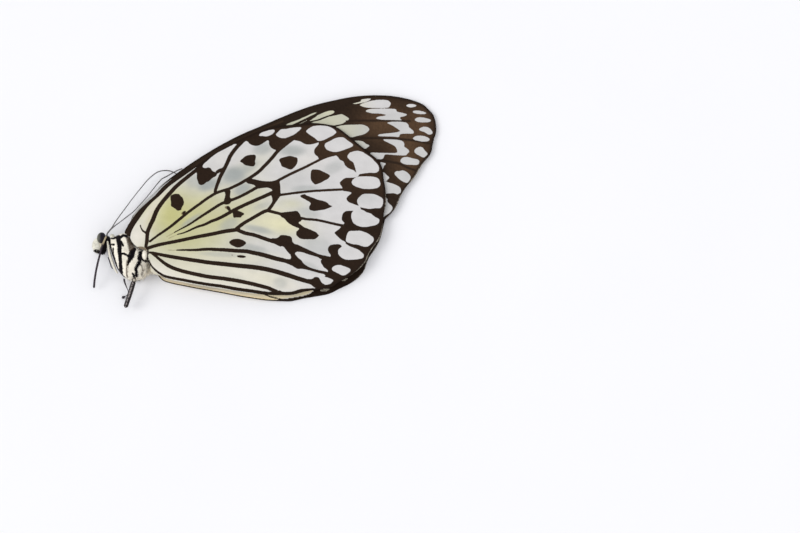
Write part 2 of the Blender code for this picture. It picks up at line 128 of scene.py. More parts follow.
# dark border of the hindwing: its inner edge from the front edge round to the rear, then outside the wing
HIND_BORDER = [
    (-15.3, 6.5), (-14.3, 6.8), (-13.9, 7.5), (-13.0, 8.4), (-12.0, 9.4), (-11.0, 10.2),
    (-10.0, 10.8), (-9.0, 11.4), (-8.0, 12.0), (-7.2, 12.4), (-6.1, 12.0), (-5.5, 12.6),
    (-4.9, 13.1), (-4.5, 12.9), (-4.1, 12.4), (-3.5, 12.1), (-2.7, 11.95), (-2.0, 12.1),
    (-1.3, 12.5), (-0.6, 13.0), (-0.2, 13.3), (0.1, 13.1), (0.1, 12.6), (0.3, 12.0),
    (0.7, 11.5), (1.4, 11.1), (2.4, 11.0), (3.5, 12.05), (4.3, 12.95), (5.1, 13.5),
    (6.1, 13.3), (7.1, 13.05), (7.9, 12.5), (9.0, 12.35), (10.0, 12.55), (10.8, 12.8),
    (11.1, 12.8), (10.8, 12.15), (10.2, 11.4), (10.05, 10.6), (10.3, 10.0), (10.9, 9.5),
    (11.3, 8.95), (13.0, 9.3), (14.9, 9.8), (15.7, 8.8), (16.5, 8.4), (16.8, 7.65),
    (17.4, 6.95), (18.35, 6.45), (18.8, 6.3), (19.4, 5.65), (19.9, 5.5), (19.75, 4.95),
    (18.8, 4.6), (17.7, 4.6), (16.8, 4.45), (16.2, 3.95), (15.75, 3.35), (16.15, 2.55),
    (16.4, 2.2), (16.0, 1.8), (16.5, 1.5), (18.35, 1.15), (17.9, 0.6), (17.25, -0.25),
    (17.7, -1.05), (18.5, -1.4), (19.4, -1.8), (20.0, -2.0), (20.4, -2.6), (19.75, -2.75),
    (18.8, -3.1), (17.25, -3.15), (16.55, -3.75), (16.3, -4.6), (16.4, -5.4), (16.85, -5.8),
    (16.6, -6.4), (16.25, -6.8), (15.55, -7.5), (14.9, -7.95), (14.8, -8.3), (15.2, -8.75),
    (15.85, -9.4), (16.4, -9.85), (16.95, -10.1), (17.2, -10.35), (17.15, -10.6), (16.8, -11.0),
    (16.4, -11.25), (16.15, -10.9), (15.55, -10.75), (14.6, -10.8), (13.9, -11.0), (13.5, -11.5),
    (13.4, -12.05), (13.6, -12.65), (13.95, -13.1), (13.9, -13.6), (12.1, -14.2), (11.95, -14.85),
    (12.25, -15.45), (12.7, -16.1), (13.35, -16.55), (13.5, -17.1), (12.7, -17.4), (11.6, -16.95),
    (11.0, -17.0), (10.9, -18.1), (10.75, -18.2), (10.0, -18.7), (8.9, -18.7), (10.0, -19.7),
    (11.0, -20.1), (11.15, -20.4), (10.7, -20.8), (9.55, -20.9), (7.8, -20.95), (6.8, -21.3),
    (6.0, -21.6), (5.0, -21.75), (3.9, -21.5), (2.95, -21.3), (3.9, -23.5), (10.0, -23.5),
    (18.0, -21.0), (23.0, -17.0), (28.0, -9.0), (28.5, 5.0), (25.0, 12.0), (18.0, 19.0),
    (5.0, 19.5), (-6.0, 16.0), (-13.5, 10.6), (-15.8, 7.6),
]

# pale windows in that border
HIND_WINDOWS = [
    [(-2.1, 14.6), (-1.6, 15.1), (-0.65, 15.5), (0.3, 15.8), (1.1, 15.87), (1.3, 15.55),
     (0.97, 15.0), (0.3, 14.5), (-0.5, 14.25), (-1.3, 14.35), (-1.9, 14.35)],
    [(1.6, 14.75), (1.94, 15.2), (2.4, 15.7), (2.9, 16.0), (3.9, 16.05), (4.8, 16.3), (6.0, 16.45),
     (7.1, 16.45), (6.9, 15.9), (6.1, 15.15), (5.3, 14.6), (4.5, 14.2), (3.7, 13.9), (2.9, 13.85),
     (2.25, 14.1), (1.85, 14.35)],
    [(8.2, 15.5), (8.6, 16.0), (9.2, 16.45), (10.0, 16.8), (11.6, 16.9), (12.8, 16.75), (13.75, 16.4),
     (14.5, 15.9), (14.85, 15.35), (14.7, 15.05), (14.05, 14.5), (13.1, 14.0), (12.0, 13.4),
     (10.9, 13.25), (10.2, 13.9), (9.2, 14.6), (8.55, 15.15)],
    [(12.35, 12.1), (12.6, 12.7), (13.5, 13.2), (14.5, 13.8), (15.5, 14.1), (16.5, 14.05),
     (17.2, 13.5), (18.0, 12.9), (18.6, 12.3), (18.2, 11.8), (17.0, 11.3), (16.0, 10.9),
     (15.0, 10.65), (14.0, 10.7), (13.0, 11.1), (12.6, 11.5)],
    [(17.4, 9.4), (17.5, 9.9), (17.9, 10.45), (18.8, 10.77), (19.75, 10.9), (20.7, 10.6), (21.6, 10.0),
     (22.6, 9.3), (23.3, 8.5), (24.0, 7.7), (24.3, 6.95), (24.2, 6.15), (23.5, 5.75), (22.25, 5.75),
     (21.0, 5.6), (20.06, 5.4), (19.5, 5.4), (19.3, 6.15), (19.0, 7.25), (18.65, 8.2), (18.0, 8.65),
     (17.65, 9.05)],
    [(18.4, 3.35), (18.5, 3.95), (19.0, 4.45), (19.75, 4.8), (20.7, 4.9), (21.9, 4.9), (23.2, 4.8),
     (24.1, 4.45), (24.5, 3.8), (24.6, 2.9), (24.1, 2.3), (23.2, 2.05), (21.9, 1.95), (20.7, 2.05),
     (19.6, 2.4), (18.8, 2.8)],
    [(19.6, -0.95), (19.75, -0.3), (20.2, 0.2), (20.85, 0.75), (21.9, 0.85), (23.3, 0.75), (24.3, 0.3),
     (25.05, -0.2), (25.25, -0.9), (25.1, -1.8), (24.6, -2.45), (23.5, -2.5), (22.25, -2.65),
     (21.15, -2.45), (20.4, -2.3), (19.9, -1.8)],
    [(18.35, -4.6), (18.4, -3.85), (18.8, -3.15), (19.75, -2.75), (20.7, -2.85), (21.6, -3.4),
     (22.55, -3.7), (23.35, -4.4), (24.35, -5.0), (24.4, -5.55), (24.2, -6.0), (23.65, -6.35),
     (22.9, -6.55), (21.95, -6.75), (21.0, -6.8), (20.05, -6.65), (19.3, -6.25), (18.8, -5.85),
     (18.6, -5.4)],
    [(17.8, -7.9), (18.2, -7.75), (19.3, -7.7), (20.4, -7.7), (21.0, -7.9), (21.8, -8.2),
     (22.55, -8.7), (23.1, -9.15), (23.25, -9.7), (23.1, -10.25), (22.55, -10.8), (21.95, -11.25),
     (21.15, -11.3), (20.4, -11.05), (19.6, -10.8), (18.8, -10.75), (18.1, -10.5), (17.55, -10.3),
     (17.25, -9.85), (17.35, -9.05), (17.55, -8.35)],
    [(16.4, -11.3), (16.0, -11.65), (15.65, -12.1), (15.6, -12.6), (15.75, -13.1), (16.15, -13.6),
     (16.8, -14.05), (17.55, -14.25), (18.65, -14.25), (19.75, -14.15), (20.7, -13.95), (21.1, -13.6),
     (21.1, -13.1), (20.9, -12.8), (20.55, -12.5), (20.05, -12.05), (19.3, -11.7), (18.5, -11.4),
     (17.7, -11.0), (17.15, -10.6), (16.7, -10.7)],
    [(14.35, -16.3), (14.5, -15.95), (15.05, -15.6), (16.0, -15.45), (16.8, -15.7), (17.55, -16.0),
     (18.25, -16.35), (18.2, -16.95), (17.65, -17.4), (17.1, -17.75), (16.45, -17.75), (15.7, -17.35),
     (14.9, -16.95), (14.45, -16.65)],
    [(10.7, -17.0), (11.95, -17.3), (12.7, -17.6), (12.95, -17.9), (12.7, -18.1), (13.2, -18.2),
     (13.95, -18.5), (14.5, -18.75), (14.65, -19.0), (14.35, -19.4), (13.95, -19.7), (13.05, -19.9),
     (12.4, -19.7), (11.95, -19.3), (11.7, -18.85), (11.4, -18.3), (10.7, -18.1)],
]

# dark spots and blotches inside the hindwing
HIND_SPOTS = [
    [(-20.73, -0.6), (-20.5, -0.13), (-20.0, 0.2), (-19.5, 0.27), (-18.95, 0.23), (-18.55, -0.2),
     (-18.06, -0.7), (-17.82, -1.34), (-17.74, -1.9), (-17.9, -2.55), (-18.15, -3.03), (-18.3, -3.6),
     (-18.63, -3.68), (-18.95, -3.76), (-19.35, -3.5), (-19.7, -3.2), (-20.1, -2.95), (-20.5, -2.63),
     (-20.5, -1.9), (-20.65, -1.26)],
    [(-15.48, 6.32), (-15.24, 6.77), (-14.76, 7.13), (-14.35, 7.2), (-14.1, 6.77), (-13.87, 6.56),
     (-13.39, 6.52), (-12.9, 6.68), (-12.42, 6.52), (-12.18, 6.16), (-11.85, 5.76), (-11.45, 5.6),
     (-11.05, 5.4), (-10.9, 5.1), (-11.2, 4.55), (-11.77, 4.23), (-12.26, 3.74), (-12.66, 3.34),
     (-13.15, 3.1), (-13.55, 2.7), (-14.03, 2.45), (-14.5, 2.48), (-14.84, 2.77), (-15.0, 3.26),
     (-15.24, 3.9), (-15.29, 4.55), (-15.35, 5.35), (-15.56, 5.84)],
    [(-6.1, 8.25), (-5.55, 8.9), (-4.8, 9.55), (-3.85, 9.8), (-2.8, 9.8), (-2.65, 9.2), (-2.8, 8.25),
     (-2.7, 7.55), (-3.2, 7.05), (-4.15, 7.15), (-4.95, 7.35), (-5.55, 7.85)],
    [(2.45, 8.6), (2.75, 9.05), (3.75, 9.4), (4.85, 9.65), (5.85, 9.4), (6.4, 9.2), (6.5, 8.4),
     (6.25, 7.55), (5.5, 6.65), (4.85, 6.4), (3.9, 6.8), (3.1, 7.15), (2.75, 7.95)],
    [(9.55, 6.3), (10.35, 6.5), (11.3, 6.4), (12.0, 6.05), (12.9, 5.6), (13.65, 5.05), (13.2, 4.3),
     (12.4, 3.85), (11.7, 3.4), (10.6, 2.95), (10.2, 3.1), (9.55, 3.9), (9.4, 4.85)],
    [(7.15, 0.2), (8.1, 0.7), (8.75, 0.35), (10.05, -0.15), (11.15, -0.6), (12.1, -0.8), (13.05, -1.2),
     (13.65, -1.8), (14.3, -2.05), (13.65, -2.4), (12.55, -2.85), (11.0, -3.1), (10.35, -3.2),
     (9.4, -2.95), (9.2, -2.25), (9.55, -1.4), (8.4, -0.6)],
    [(2.9, -3.85), (4.2, -3.5), (5.5, -3.35), (6.5, -3.2), (7.1, -3.7), (7.45, -4.5), (7.6, -5.5),
     (7.1, -5.8), (7.1, -6.1), (7.6, -6.45), (8.1, -6.85), (8.9, -7.2), (9.85, -7.6), (10.7, -8.0),
     (11.15, -8.4), (11.45, -8.85), (11.25, -9.1), (10.9, -9.45), (10.35, -9.7), (9.55, -9.7),
     (8.1, -9.7), (7.3, -9.5), (6.9, -9.1), (6.55, -8.7), (6.55, -8.0), (6.9, -7.65), (7.15, -7.25),
     (6.5, -7.0), (5.85, -6.7), (5.05, -6.2), (4.4, -5.65), (3.9, -5.0), (3.25, -4.65)],
    [(1.3, -9.6), (2.3, -9.55), (2.85, -9.2), (3.2, -8.85), (3.9, -8.8), (4.7, -8.9), (5.35, -9.1),
     (5.65, -9.45), (5.7, -10.0), (6.0, -10.55), (6.65, -11.0), (7.45, -11.45), (8.75, -12.0),
     (10.35, -12.6), (12.0, -13.2), (13.5, -13.5), (14.2, -13.9), (12.05, -14.2), (11.5, -13.85),
     (10.35, -13.45), (9.05, -13.05), (7.95, -12.65), (6.9, -12.55), (6.5, -12.75), (6.4, -13.0),
     (6.65, -13.4), (7.1, -13.9), (7.8, -14.5), (8.25, -15.15), (8.9, -15.65), (10.0, -16.2),
     (11.2, -16.6), (13.3, -17.0), (13.3, -17.6), (12.0, -17.4), (10.35, -16.95), (8.9, -16.55),
     (7.8, -16.4), (7.0, -16.4), (6.5, -16.15), (5.85, -15.75), (5.0, -15.25), (4.4, -14.6),
     (4.6, -14.2), (5.35, -14.25), (5.55, -13.8), (5.35, -13.2), (4.9, -12.75), (4.4, -12.1),
     (3.9, -11.5), (3.25, -11.2), (2.3, -10.7), (1.3, -10.3)],
    [(-7.1, -3.6), (-7.0, -5.0), (-6.2, -4.95), (-5.5, -5.0), (-5.2, -4.6), (-4.7, -4.1), (-5.3, -3.7),
     (-6.2, -3.4)],
    [(-11.3, 5.7), (-10.6, 6.3), (-9.9, 6.6), (-9.6, 6.9), (-9.5, 6.2), (-10.2, 5.6), (-10.9, 5.2)],
    [(-7.75, -10.7), (-7.4, -10.25), (-6.9, -9.98), (-6.2, -9.85), (-5.5, -9.9), (-4.7, -10.2),
     (-4.1, -10.7), (-4.4, -11.2), (-4.95, -11.6), (-5.6, -11.85), (-6.2, -11.8), (-6.8, -11.55),
     (-7.4, -11.2)],
    [(-5.95, -13.65), (-5.0, -13.55), (-4.1, -13.75), (-4.2, -14.1), (-5.1, -14.15), (-5.85, -14.0)],
    [(-8.6, -2.5), (-8.15, -2.35), (-7.75, -2.8), (-7.7, -3.3), (-8.0, -3.5), (-8.4, -3.2)],
    [(-17.95, -4.2), (-17.55, -3.75), (-17.2, -3.9), (-17.35, -4.3), (-17.8, -4.65)],
    [(11.7, -18.5), (12.2, -19.4), (13.0, -19.9), (13.9, -20.3), (12.4, -20.7), (10.9, -20.8),
     (11.2, -20.3), (10.0, -19.6), (8.8, -18.9), (8.9, -18.65), (10.0, -18.65), (10.45, -18.4),
     (10.75, -18.2), (11.3, -18.2)],
    [(-3.35, 4.1), (-0.95, 3.65), (1.0, 3.65), (2.4, 4.0), (2.8, 3.0), (2.9, 1.8), (2.95, 0.4),
     (2.55, -0.45), (1.95, -1.4), (1.3, -2.5), (0.8, -3.1), (0.0, -3.1), (0.75, -1.95), (1.2, -1.1),
     (1.15, -0.3), (0.9, 0.6), (1.2, 1.1), (1.1, 1.6), (0.6, 1.95), (-0.1, 2.1), (-1.25, 1.95),
     (-2.2, 1.75), (-2.9, 1.75), (-2.55, 2.3), (-2.8, 2.65), (-3.3, 2.8), (-4.4, 3.1), (-4.3, 3.75)],
    [(-9.15, 1.3), (-8.0, 1.4), (-7.85, 0.6), (-7.9, -0.3), (-7.5, -0.9), (-8.0, -1.9), (-9.1, -2.0),
     (-9.2, -1.0), (-8.95, 0.2)],
]

# weak brown spots: they fade at their edges; the last, along the wing's base by the thorax, is painted shadow
HIND_FAINT_SPOTS = [
    [(-18.15, -4.3), (-17.8, -3.85), (-17.35, -3.75), (-17.2, -4.1), (-17.5, -4.5), (-17.9, -4.8),
     (-18.15, -4.55)],
    [(-9.0, -2.6), (-8.4, -2.4), (-7.8, -2.8), (-7.9, -3.2), (-8.6, -3.1)],
    [(-7.1, -13.5), (-6.9, -13.5), (-6.9, -13.7), (-7.1, -13.7)],
    # painted shadow along the base edge
    [(-27.1, -12.45), (-26.4, -12.3), (-25.6, -12.45), (-25.1, -12.8), (-25.0, -13.4), (-26.6, -13.1)],
]

# hindwing veins: points, then half widths spread evenly from the first point to the last
HIND_VEINS = [
    ([(-25.2, -12.3), (-25.05, -11.0), (-25.0, -9.0), (-24.4, -7.0), (-24.05, -6.0), (-23.5, -4.0),
      (-22.5, -2.0), (-21.15, 0.0), (-19.6, 2.0), (-17.6, 4.0), (-15.5, 6.0), (-15.0, 7.0)],
     (0.3, 0.45, 0.42, 0.38)),
    ([(-26.7, -7.4), (-26.4, -8.2), (-26.0, -8.8), (-25.3, -9.2)], (0.06, 0.12, 0.2)),
    ([(-24.4, -11.2), (-23.1, -10.0), (-21.9, -9.0), (-20.3, -7.6), (-18.7, -6.0), (-16.6, -3.95),
      (-14.5, -2.15), (-12.6, -0.55), (-11.1, 0.5), (-10.0, 1.0), (-9.0, 1.35), (-8.0, 1.75),
      (-6.1, 2.8), (-4.65, 3.75), (-3.5, 4.55), (-2.05, 5.7), (-0.6, 7.3), (0.85, 9.05),
      (2.3, 11.0), (4.5, 13.0), (6.6, 14.9), (7.8, 16.2), (8.3, 17.0)],
     (0.2, 0.27, 0.28, 0.3, 0.34, 0.36, 0.4)),
    ([(-11.2, 0.9), (-10.95, 2.0), (-10.6, 3.2), (-10.2, 4.5), (-9.55, 6.0), (-8.75, 8.0),
      (-8.2, 9.5), (-7.1, 11.3), (-5.8, 12.9)], (0.28, 0.34, 0.38, 0.4, 0.4)),
    ([(-19.4, -8.9), (-17.9, -7.9), (-16.3, -6.85), (-14.6, -5.5), (-12.9, -4.2), (-11.3, -3.0),
      (-9.5, -1.75), (-6.6, -0.55), (-4.95, 0.35), (-3.5, 1.25), (-1.9, 2.3)],
     (0.06, 0.17, 0.26, 0.3, 0.3, 0.32)),
    ([(-18.7, -9.3), (-17.4, -8.87), (-16.3, -8.3), (-14.7, -7.4), (-13.06, -6.8), (-11.8, -6.05),
      (-10.3, -5.4), (-8.0, -4.0), (-7.05, -3.35), (-4.15, -1.75), (-0.95, -0.15), (1.3, 1.0)],
     (0.07, 0.18, 0.28, 0.33, 0.36, 0.38)),
    ([(-24.8, -12.7), (-23.5, -12.2), (-21.9, -11.7), (-19.5, -11.05), (-16.3, -10.15), (-13.9, -9.5),
      (-11.5, -8.95), (-9.0, -8.3), (-7.4, -8.0), (-5.9, -7.75)], (0.33, 0.34, 0.36, 0.39, 0.42)),
    ([(-6.3, -7.6), (-5.4, -6.8), (-4.5, -6.1), (-2.9, -5.05), (-1.3, -4.0), (-0.4, -3.45),
      (0.35, -3.2)], (0.36, 0.34, 0.38)),
    ([(-5.9, -7.9), (-4.5, -8.5), (-2.55, -8.9), (-0.9, -9.45), (0.7, -10.0), (2.0, -10.4),
      (3.25, -11.0)], (0.38, 0.38, 0.4)),
    ([(2.3, 3.75), (4.7, 5.2), (8.1, 6.95), (11.3, 8.75), (13.0, 9.55), (14.0, 9.85), (15.2, 10.2),
      (17.0, 10.9), (18.8, 11.6)], (0.28, 0.25, 0.24, 0.27)),
    ([(2.6, 0.35), (5.5, 0.85), (8.75, 1.3), (13.0, 1.65), (16.0, 1.8)], (0.25, 0.23, 0.25)),
    ([(0.5, -3.3), (2.8, -3.9), (7.1, -4.8), (8.75, -5.1), (10.35, -5.2), (12.0, -5.5),
      (14.15, -6.0), (15.7, -6.35), (16.9, -6.6)], (0.32, 0.26, 0.23, 0.27)),
    ([(-18.7, -12.85), (-17.1, -12.75), (-14.7, -12.65), (-12.3, -12.4), (-9.0, -12.45), (-5.8, -12.6),
      (-4.0, -12.65), (-2.55, -12.95), (-0.95, -13.25), (0.7, -13.7), (2.3, -14.15), (3.9, -14.5),
      (5.0, -14.85), (6.0, -15.3)], (0.09, 0.26, 0.38, 0.42, 0.45, 0.44, 0.42)),
    ([(6.65, -11.2), (8.75, -12.2), (11.0, -13.2), (11.95, -13.5), (13.05, -13.8), (14.15, -14.0)],
     (0.3, 0.25)),
    ([(10.0, -16.5), (11.0, -16.75), (12.25, -17.1), (13.6, -17.3)], (0.2, 0.2)),
    ([(-24.4, -13.65), (-23.5, -13.7), (-21.9, -14.05), (-19.5, -14.4), (-17.1, -14.7), (-13.9, -15.1),
      (-11.5, -15.4), (-9.0, -15.6), (-5.8, -15.9), (-2.55, -16.15), (0.7, -16.65), (3.9, -17.5),
      (7.1, -18.55), (8.75, -19.05), (10.0, -19.45), (10.85, -20.15)],
     (0.18, 0.35, 0.4, 0.45, 0.49, 0.46, 0.38)),
    ([(-23.9, -13.75), (-22.9, -14.5), (-21.9, -15.3), (-21.0, -15.95), (-19.7, -16.65),
      (-17.9, -17.25), (-16.3, -17.65), (-13.9, -18.15), (-11.5, -18.55), (-9.0, -18.8),
      (-5.8, -19.25), (-2.55, -19.9), (0.7, -20.7), (1.5, -21.05), (2.6, -21.5)],
     (0.2, 0.34, 0.39, 0.4, 0.36)),
    ([(-24.75, -13.05), (-24.7, -14.7), (-24.35, -15.65), (-23.9, -16.45), (-23.05, -17.35),
      (-21.9, -18.15), (-21.0, -18.6), (-19.5, -18.95), (-17.1, -19.35), (-13.9, -19.9),
      (-11.5, -20.25), (-9.0, -20.55), (-5.8, -21.1), (-2.55, -21.5), (0.7, -21.95),
      (3.9, -21.95), (6.0, -21.85), (7.6, -21.3), (8.75, -21.15), (10.35, -21.05)],
     (0.1, 0.14, 0.24, 0.3, 0.34, 0.34, 0.32)),
]
HIND_FAINT_VEINS = [
    ([(-21.0, -10.0), (-19.4, -8.9)], (0.04, 0.06)),
    ([(-20.5, -10.3), (-18.7, -9.3)], (0.04, 0.06)),
    ([(-20.5, -12.9), (-18.7, -12.85)], (0.05, 0.07)),
]

# pale shapes of the forewing's outer part
FORE_WINDOWS = [
    [(30.3, 21.75), (30.8, 22.05), (31.6, 22.1), (32.5, 21.8), (32.2, 21.45), (31.2, 21.3), (30.6, 21.45)],
    [(31.7, 20.25), (32.3, 20.55), (33.4, 20.45), (34.5, 20.1), (34.7, 19.8), (34.0, 19.65),
     (33.0, 19.7), (32.1, 19.9)],
    [(32.15, 18.4), (32.8, 18.85), (34.0, 18.85), (35.3, 18.5), (35.75, 18.15), (35.2, 17.75),
     (34.0, 17.7), (32.9, 17.8), (32.3, 18.1)],
    [(33.1, 16.1), (33.9, 16.6), (34.8, 16.6), (35.6, 16.1), (36.05, 15.3), (35.9, 14.9),
     (35.2, 14.8), (34.2, 15.4), (33.4, 15.7)],
    [(31.75, 13.9), (32.4, 14.4), (33.6, 14.5), (34.8, 14.2), (35.4, 13.65), (35.0, 13.2),
     (33.8, 13.1), (32.6, 13.3), (31.95, 13.6)],
    [(32.05, 10.8), (32.4, 11.5), (33.2, 11.85), (33.85, 11.7), (34.4, 10.9), (34.95, 10.3),
     (34.6, 9.7), (34.0, 9.35), (33.2, 9.75), (32.45, 10.2)],
    [(29.0, 8.65), (29.5, 9.3), (30.55, 9.45), (31.8, 9.1), (32.75, 8.9), (33.15, 8.35),
     (32.75, 7.65), (31.5, 7.65), (30.25, 7.7), (29.3, 8.05)],
    [(27.7, 5.55), (28.05, 6.1), (28.8, 6.15), (29.6, 6.3), (30.55, 5.75), (31.2, 4.9),
     (31.05, 4.1), (30.4, 3.4), (29.5, 3.75), (28.4, 4.6)],
    [(25.3, 3.55), (26.8, 3.35), (27.9, 2.95), (28.8, 2.4), (29.1, 1.8), (29.0, 1.15),
     (28.35, 0.75), (27.4, 1.0), (25.3, 1.1)],
    [(25.2, -0.2), (26.1, -0.25), (26.15, -0.9), (26.6, -1.5), (27.1, -1.95), (27.25, -2.6),
     (26.8, -3.4), (26.0, -4.0), (25.0, -4.3)],
    [(18.3, 22.2), (19.5, 22.9), (21.0, 23.3), (22.2, 23.4), (22.4, 23.2), (21.5, 22.7),
     (20.0, 22.3), (19.0, 22.1)],
    [(20.0, 21.9), (21.0, 22.4), (22.5, 22.85), (24.0, 23.1), (25.5, 23.1), (26.3, 22.9),
     (26.8, 22.4), (26.8, 22.0), (26.5, 21.4), (26.0, 21.2), (24.0, 21.15), (22.0, 21.2),
     (20.8, 21.4), (20.2, 21.7)],
    [(21.3, 20.4), (22.0, 20.8), (23.5, 20.95), (27.0, 20.95), (28.0, 20.8), (28.2, 20.3),
     (28.9, 20.1), (30.0, 19.8), (30.4, 19.6), (30.0, 19.2), (29.0, 18.95), (29.0, 18.5),
     (29.3, 18.2), (28.5, 18.2), (27.0, 18.25), (25.0, 18.3), (24.0, 18.5), (23.6, 18.7),
     (24.3, 19.1), (25.2, 19.2), (25.8, 19.5), (24.5, 19.8), (23.0, 19.85), (21.8, 20.1)],
    [(26.1, 17.65), (28.0, 17.85), (30.0, 17.7), (30.7, 17.2), (30.9, 16.5), (31.5, 16.0),
     (31.9, 15.5), (31.8, 15.05), (30.5, 15.0), (29.2, 14.95), (28.8, 14.6), (28.6, 14.2),
     (27.5, 14.3), (26.0, 14.35), (24.5, 14.4), (24.0, 14.6), (24.5, 14.85), (26.0, 15.05),
     (27.5, 15.2), (28.7, 15.5), (28.9, 15.7), (28.3, 16.2), (27.3, 16.9), (26.5, 17.3)],
    [(25.2, 13.6), (27.0, 13.6), (28.5, 13.5), (29.5, 13.15), (29.85, 12.5), (29.85, 11.9),
     (30.4, 11.5), (30.95, 10.8), (30.5, 10.2), (30.0, 9.85), (28.0, 9.9), (26.5, 10.05),
     (25.6, 10.05), (25.4, 9.6), (25.05, 9.0), (23.8, 9.0), (22.3, 10.4), (24.3, 10.45),
     (26.5, 10.4), (28.1, 10.45), (28.3, 10.7), (28.2, 11.3), (27.8, 12.0), (27.0, 12.5), (26.0, 13.0)],
    [(24.6, 8.2), (25.4, 8.05), (25.85, 7.9), (25.4, 7.35), (25.15, 6.6), (24.6, 7.0)],
    [(25.2, 5.9), (26.0, 5.2), (26.55, 4.65), (26.15, 4.1), (25.85, 3.8), (25.0, 3.9)],
    [(14.8, 16.6), (16.0, 16.95), (17.5, 17.1), (19.0, 17.15), (20.5, 17.15), (21.5, 16.8),
     (22.1, 16.2), (22.0, 15.7), (21.4, 15.1), (20.5, 14.7), (19.5, 14.45), (18.5, 14.15),
     (17.8, 14.2), (17.0, 14.9), (16.0, 15.8), (15.2, 16.3)],
    [(18.9, 13.3), (20.0, 13.3), (20.8, 13.1), (21.4, 12.6), (22.2, 12.2), (22.0, 11.9),
     (21.6, 11.6), (21.3, 11.4), (20.8, 11.5), (20.0, 12.1), (19.2, 12.9)],
    [(8.8, 17.85), (9.6, 18.5), (10.3, 19.0), (11.0, 19.6), (12.0, 20.05), (13.0, 20.4),
     (14.0, 20.5), (14.4, 20.2), (14.0, 19.75), (13.0, 19.35), (12.0, 18.95), (11.0, 18.5),
     (10.0, 18.15), (9.4, 17.9)],
    [(9.35, 17.5), (10.0, 17.85), (11.0, 18.05), (12.0, 18.5), (13.0, 18.95), (14.0, 19.2),
     (15.0, 19.45), (16.0, 19.65), (16.5, 19.4), (17.0, 19.1), (17.6, 18.6), (17.3, 18.1),
     (16.6, 17.65), (16.0, 17.3), (15.0, 17.1), (14.2, 16.95), (12.0, 17.3), (10.0, 17.5)],
    [(3.7, 17.0), (4.5, 17.5), (5.5, 17.9), (6.5, 18.3), (7.4, 18.8), (8.4, 19.25), (9.35, 19.75),
     (10.5, 20.15), (10.2, 19.8), (9.35, 19.1), (8.55, 18.3), (7.9, 17.7), (6.9, 17.3),
     (5.8, 17.1), (4.5, 16.9)],
]
# the forewing's inner part, hidden under the hindwing
FORE_INNER = [
    (-24.0, -11.0), (-22.5, -4.0), (-18.0, 1.5), (-11.0, 7.5), (-3.0, 11.5), (6.0, 14.0),
    (13.0, 14.0), (18.0, 10.0), (21.0, 5.0), (22.0, 0.0), (20.0, -4.0), (10.0, -7.0),
    (-5.0, -10.0), (-18.0, -11.8),
]
FORE_VEINS = [
    ([(-26.0, -9.5), (-23.0, -3.0), (-18.0, 2.5), (-11.0, 8.5), (-3.0, 13.2), (4.0, 16.2), (12.0, 20.3),
      (20.0, 22.9)], (0.4, 0.3, 0.25)),
    ([(7.0, 17.1), (8.5, 18.0), (9.5, 18.9), (11.5, 20.2)], (0.18, 0.14)),
    ([(9.0, 17.8), (11.0, 18.3), (13.0, 19.1), (14.8, 19.7)], (0.16, 0.14)),
    ([(-25.0, -11.0), (-15.0, -3.0), (-5.0, 4.0), (3.0, 9.5), (9.0, 13.0)], (0.3, 0.3)),
    ([(-24.5, -12.0), (-15.0, -8.5), (-3.0, -4.0), (8.0, 0.0), (20.0, 3.0), (25.0, 4.0)], (0.3, 0.25)),
    ([(17.0, 18.0), (24.0, 18.1), (31.0, 18.0)], (0.12, 0.1)),
    ([(18.5, 13.9), (24.0, 13.95), (31.0, 13.5), (35.5, 12.6)], (0.14, 0.1)),
    ([(24.3, 8.8), (26.6, 8.35), (29.0, 7.8), (30.5, 6.95), (33.0, 6.0)], (0.14, 0.1)),
    ([(26.0, 0.4), (28.4, -0.7)], (0.14, 0.1)),
]
# mid-brown parts of the forewing's dark ground: centre, radii, and the middle of its front band
FORE_BROWN = [((30.5, 11.0), (4.0, 7.5)), ((25.0, 17.8), (5.0, 4.5)), ((33.5, 17.5), (2.5, 4.5))]
FORE_BAND_MIDDLE = [(-16.5, 6.6), (-13.0, 9.3), (-9.0, 12.0), (-5.0, 14.3), (-1.0, 16.2), (3.0, 17.9)]
# the pale rim of its front edge near the root
FORE_RIM = [(-29.2, -7.0), (-28.75, -6.0), (-27.75, -4.0), (-26.25, -2.0), (-24.35, 0.0), (-22.7, 2.0), (-20.6, 3.9)]
FORE_RIM_HALVES = (-0.1, 0.0, 0.22, 0.34, 0.32, 0.2, 0.0)

# colour washes of the hindwing: centre, radii, lean in degrees, strength
YELLOW_WASHES = [
    ((-20.5, -4.5), (7.0, 8.0), 35.0, 1.0), ((-13.5, -2.5), (6.5, 3.6), 35.0, 0.6),
    ((-9.0, -5.5), (9.0, 3.6), 25.0, 0.7), ((3.0, -6.5), (6.5, 3.2), -10.0, 0.45),
    ((-16.0, -11.5), (11.0, 3.0), 5.0, 0.55), ((-4.0, 6.5), (6.0, 2.5), 40.0, 0.3),
    ((-3.5, 0.5), (4.5, 2.5), 25.0, 0.4), ((5.5, -1.6), (3.0, 1.4), -5.0, 0.35),
]
CREAM_WASHES = [
    ((-12.0, -17.5), (14.0, 3.5), -8.0, 0.6), ((3.5, -6.2), (4.0, 2.0), -5.0, 0.85),
    ((-6.0, -14.0), (10.0, 1.6), 0.0, 0.4), ((-24.5, -4.5), (2.2, 4.5), -25.0, 0.6),
    ((0.0, -18.6), (5.0, 1.6), -10.0, 0.4), ((1.2, -3.6), (2.6, 1.0), 20.0, 0.4),
    ((-1.5, -6.0), (3.0, 1.4), 15.0, 0.4),
]
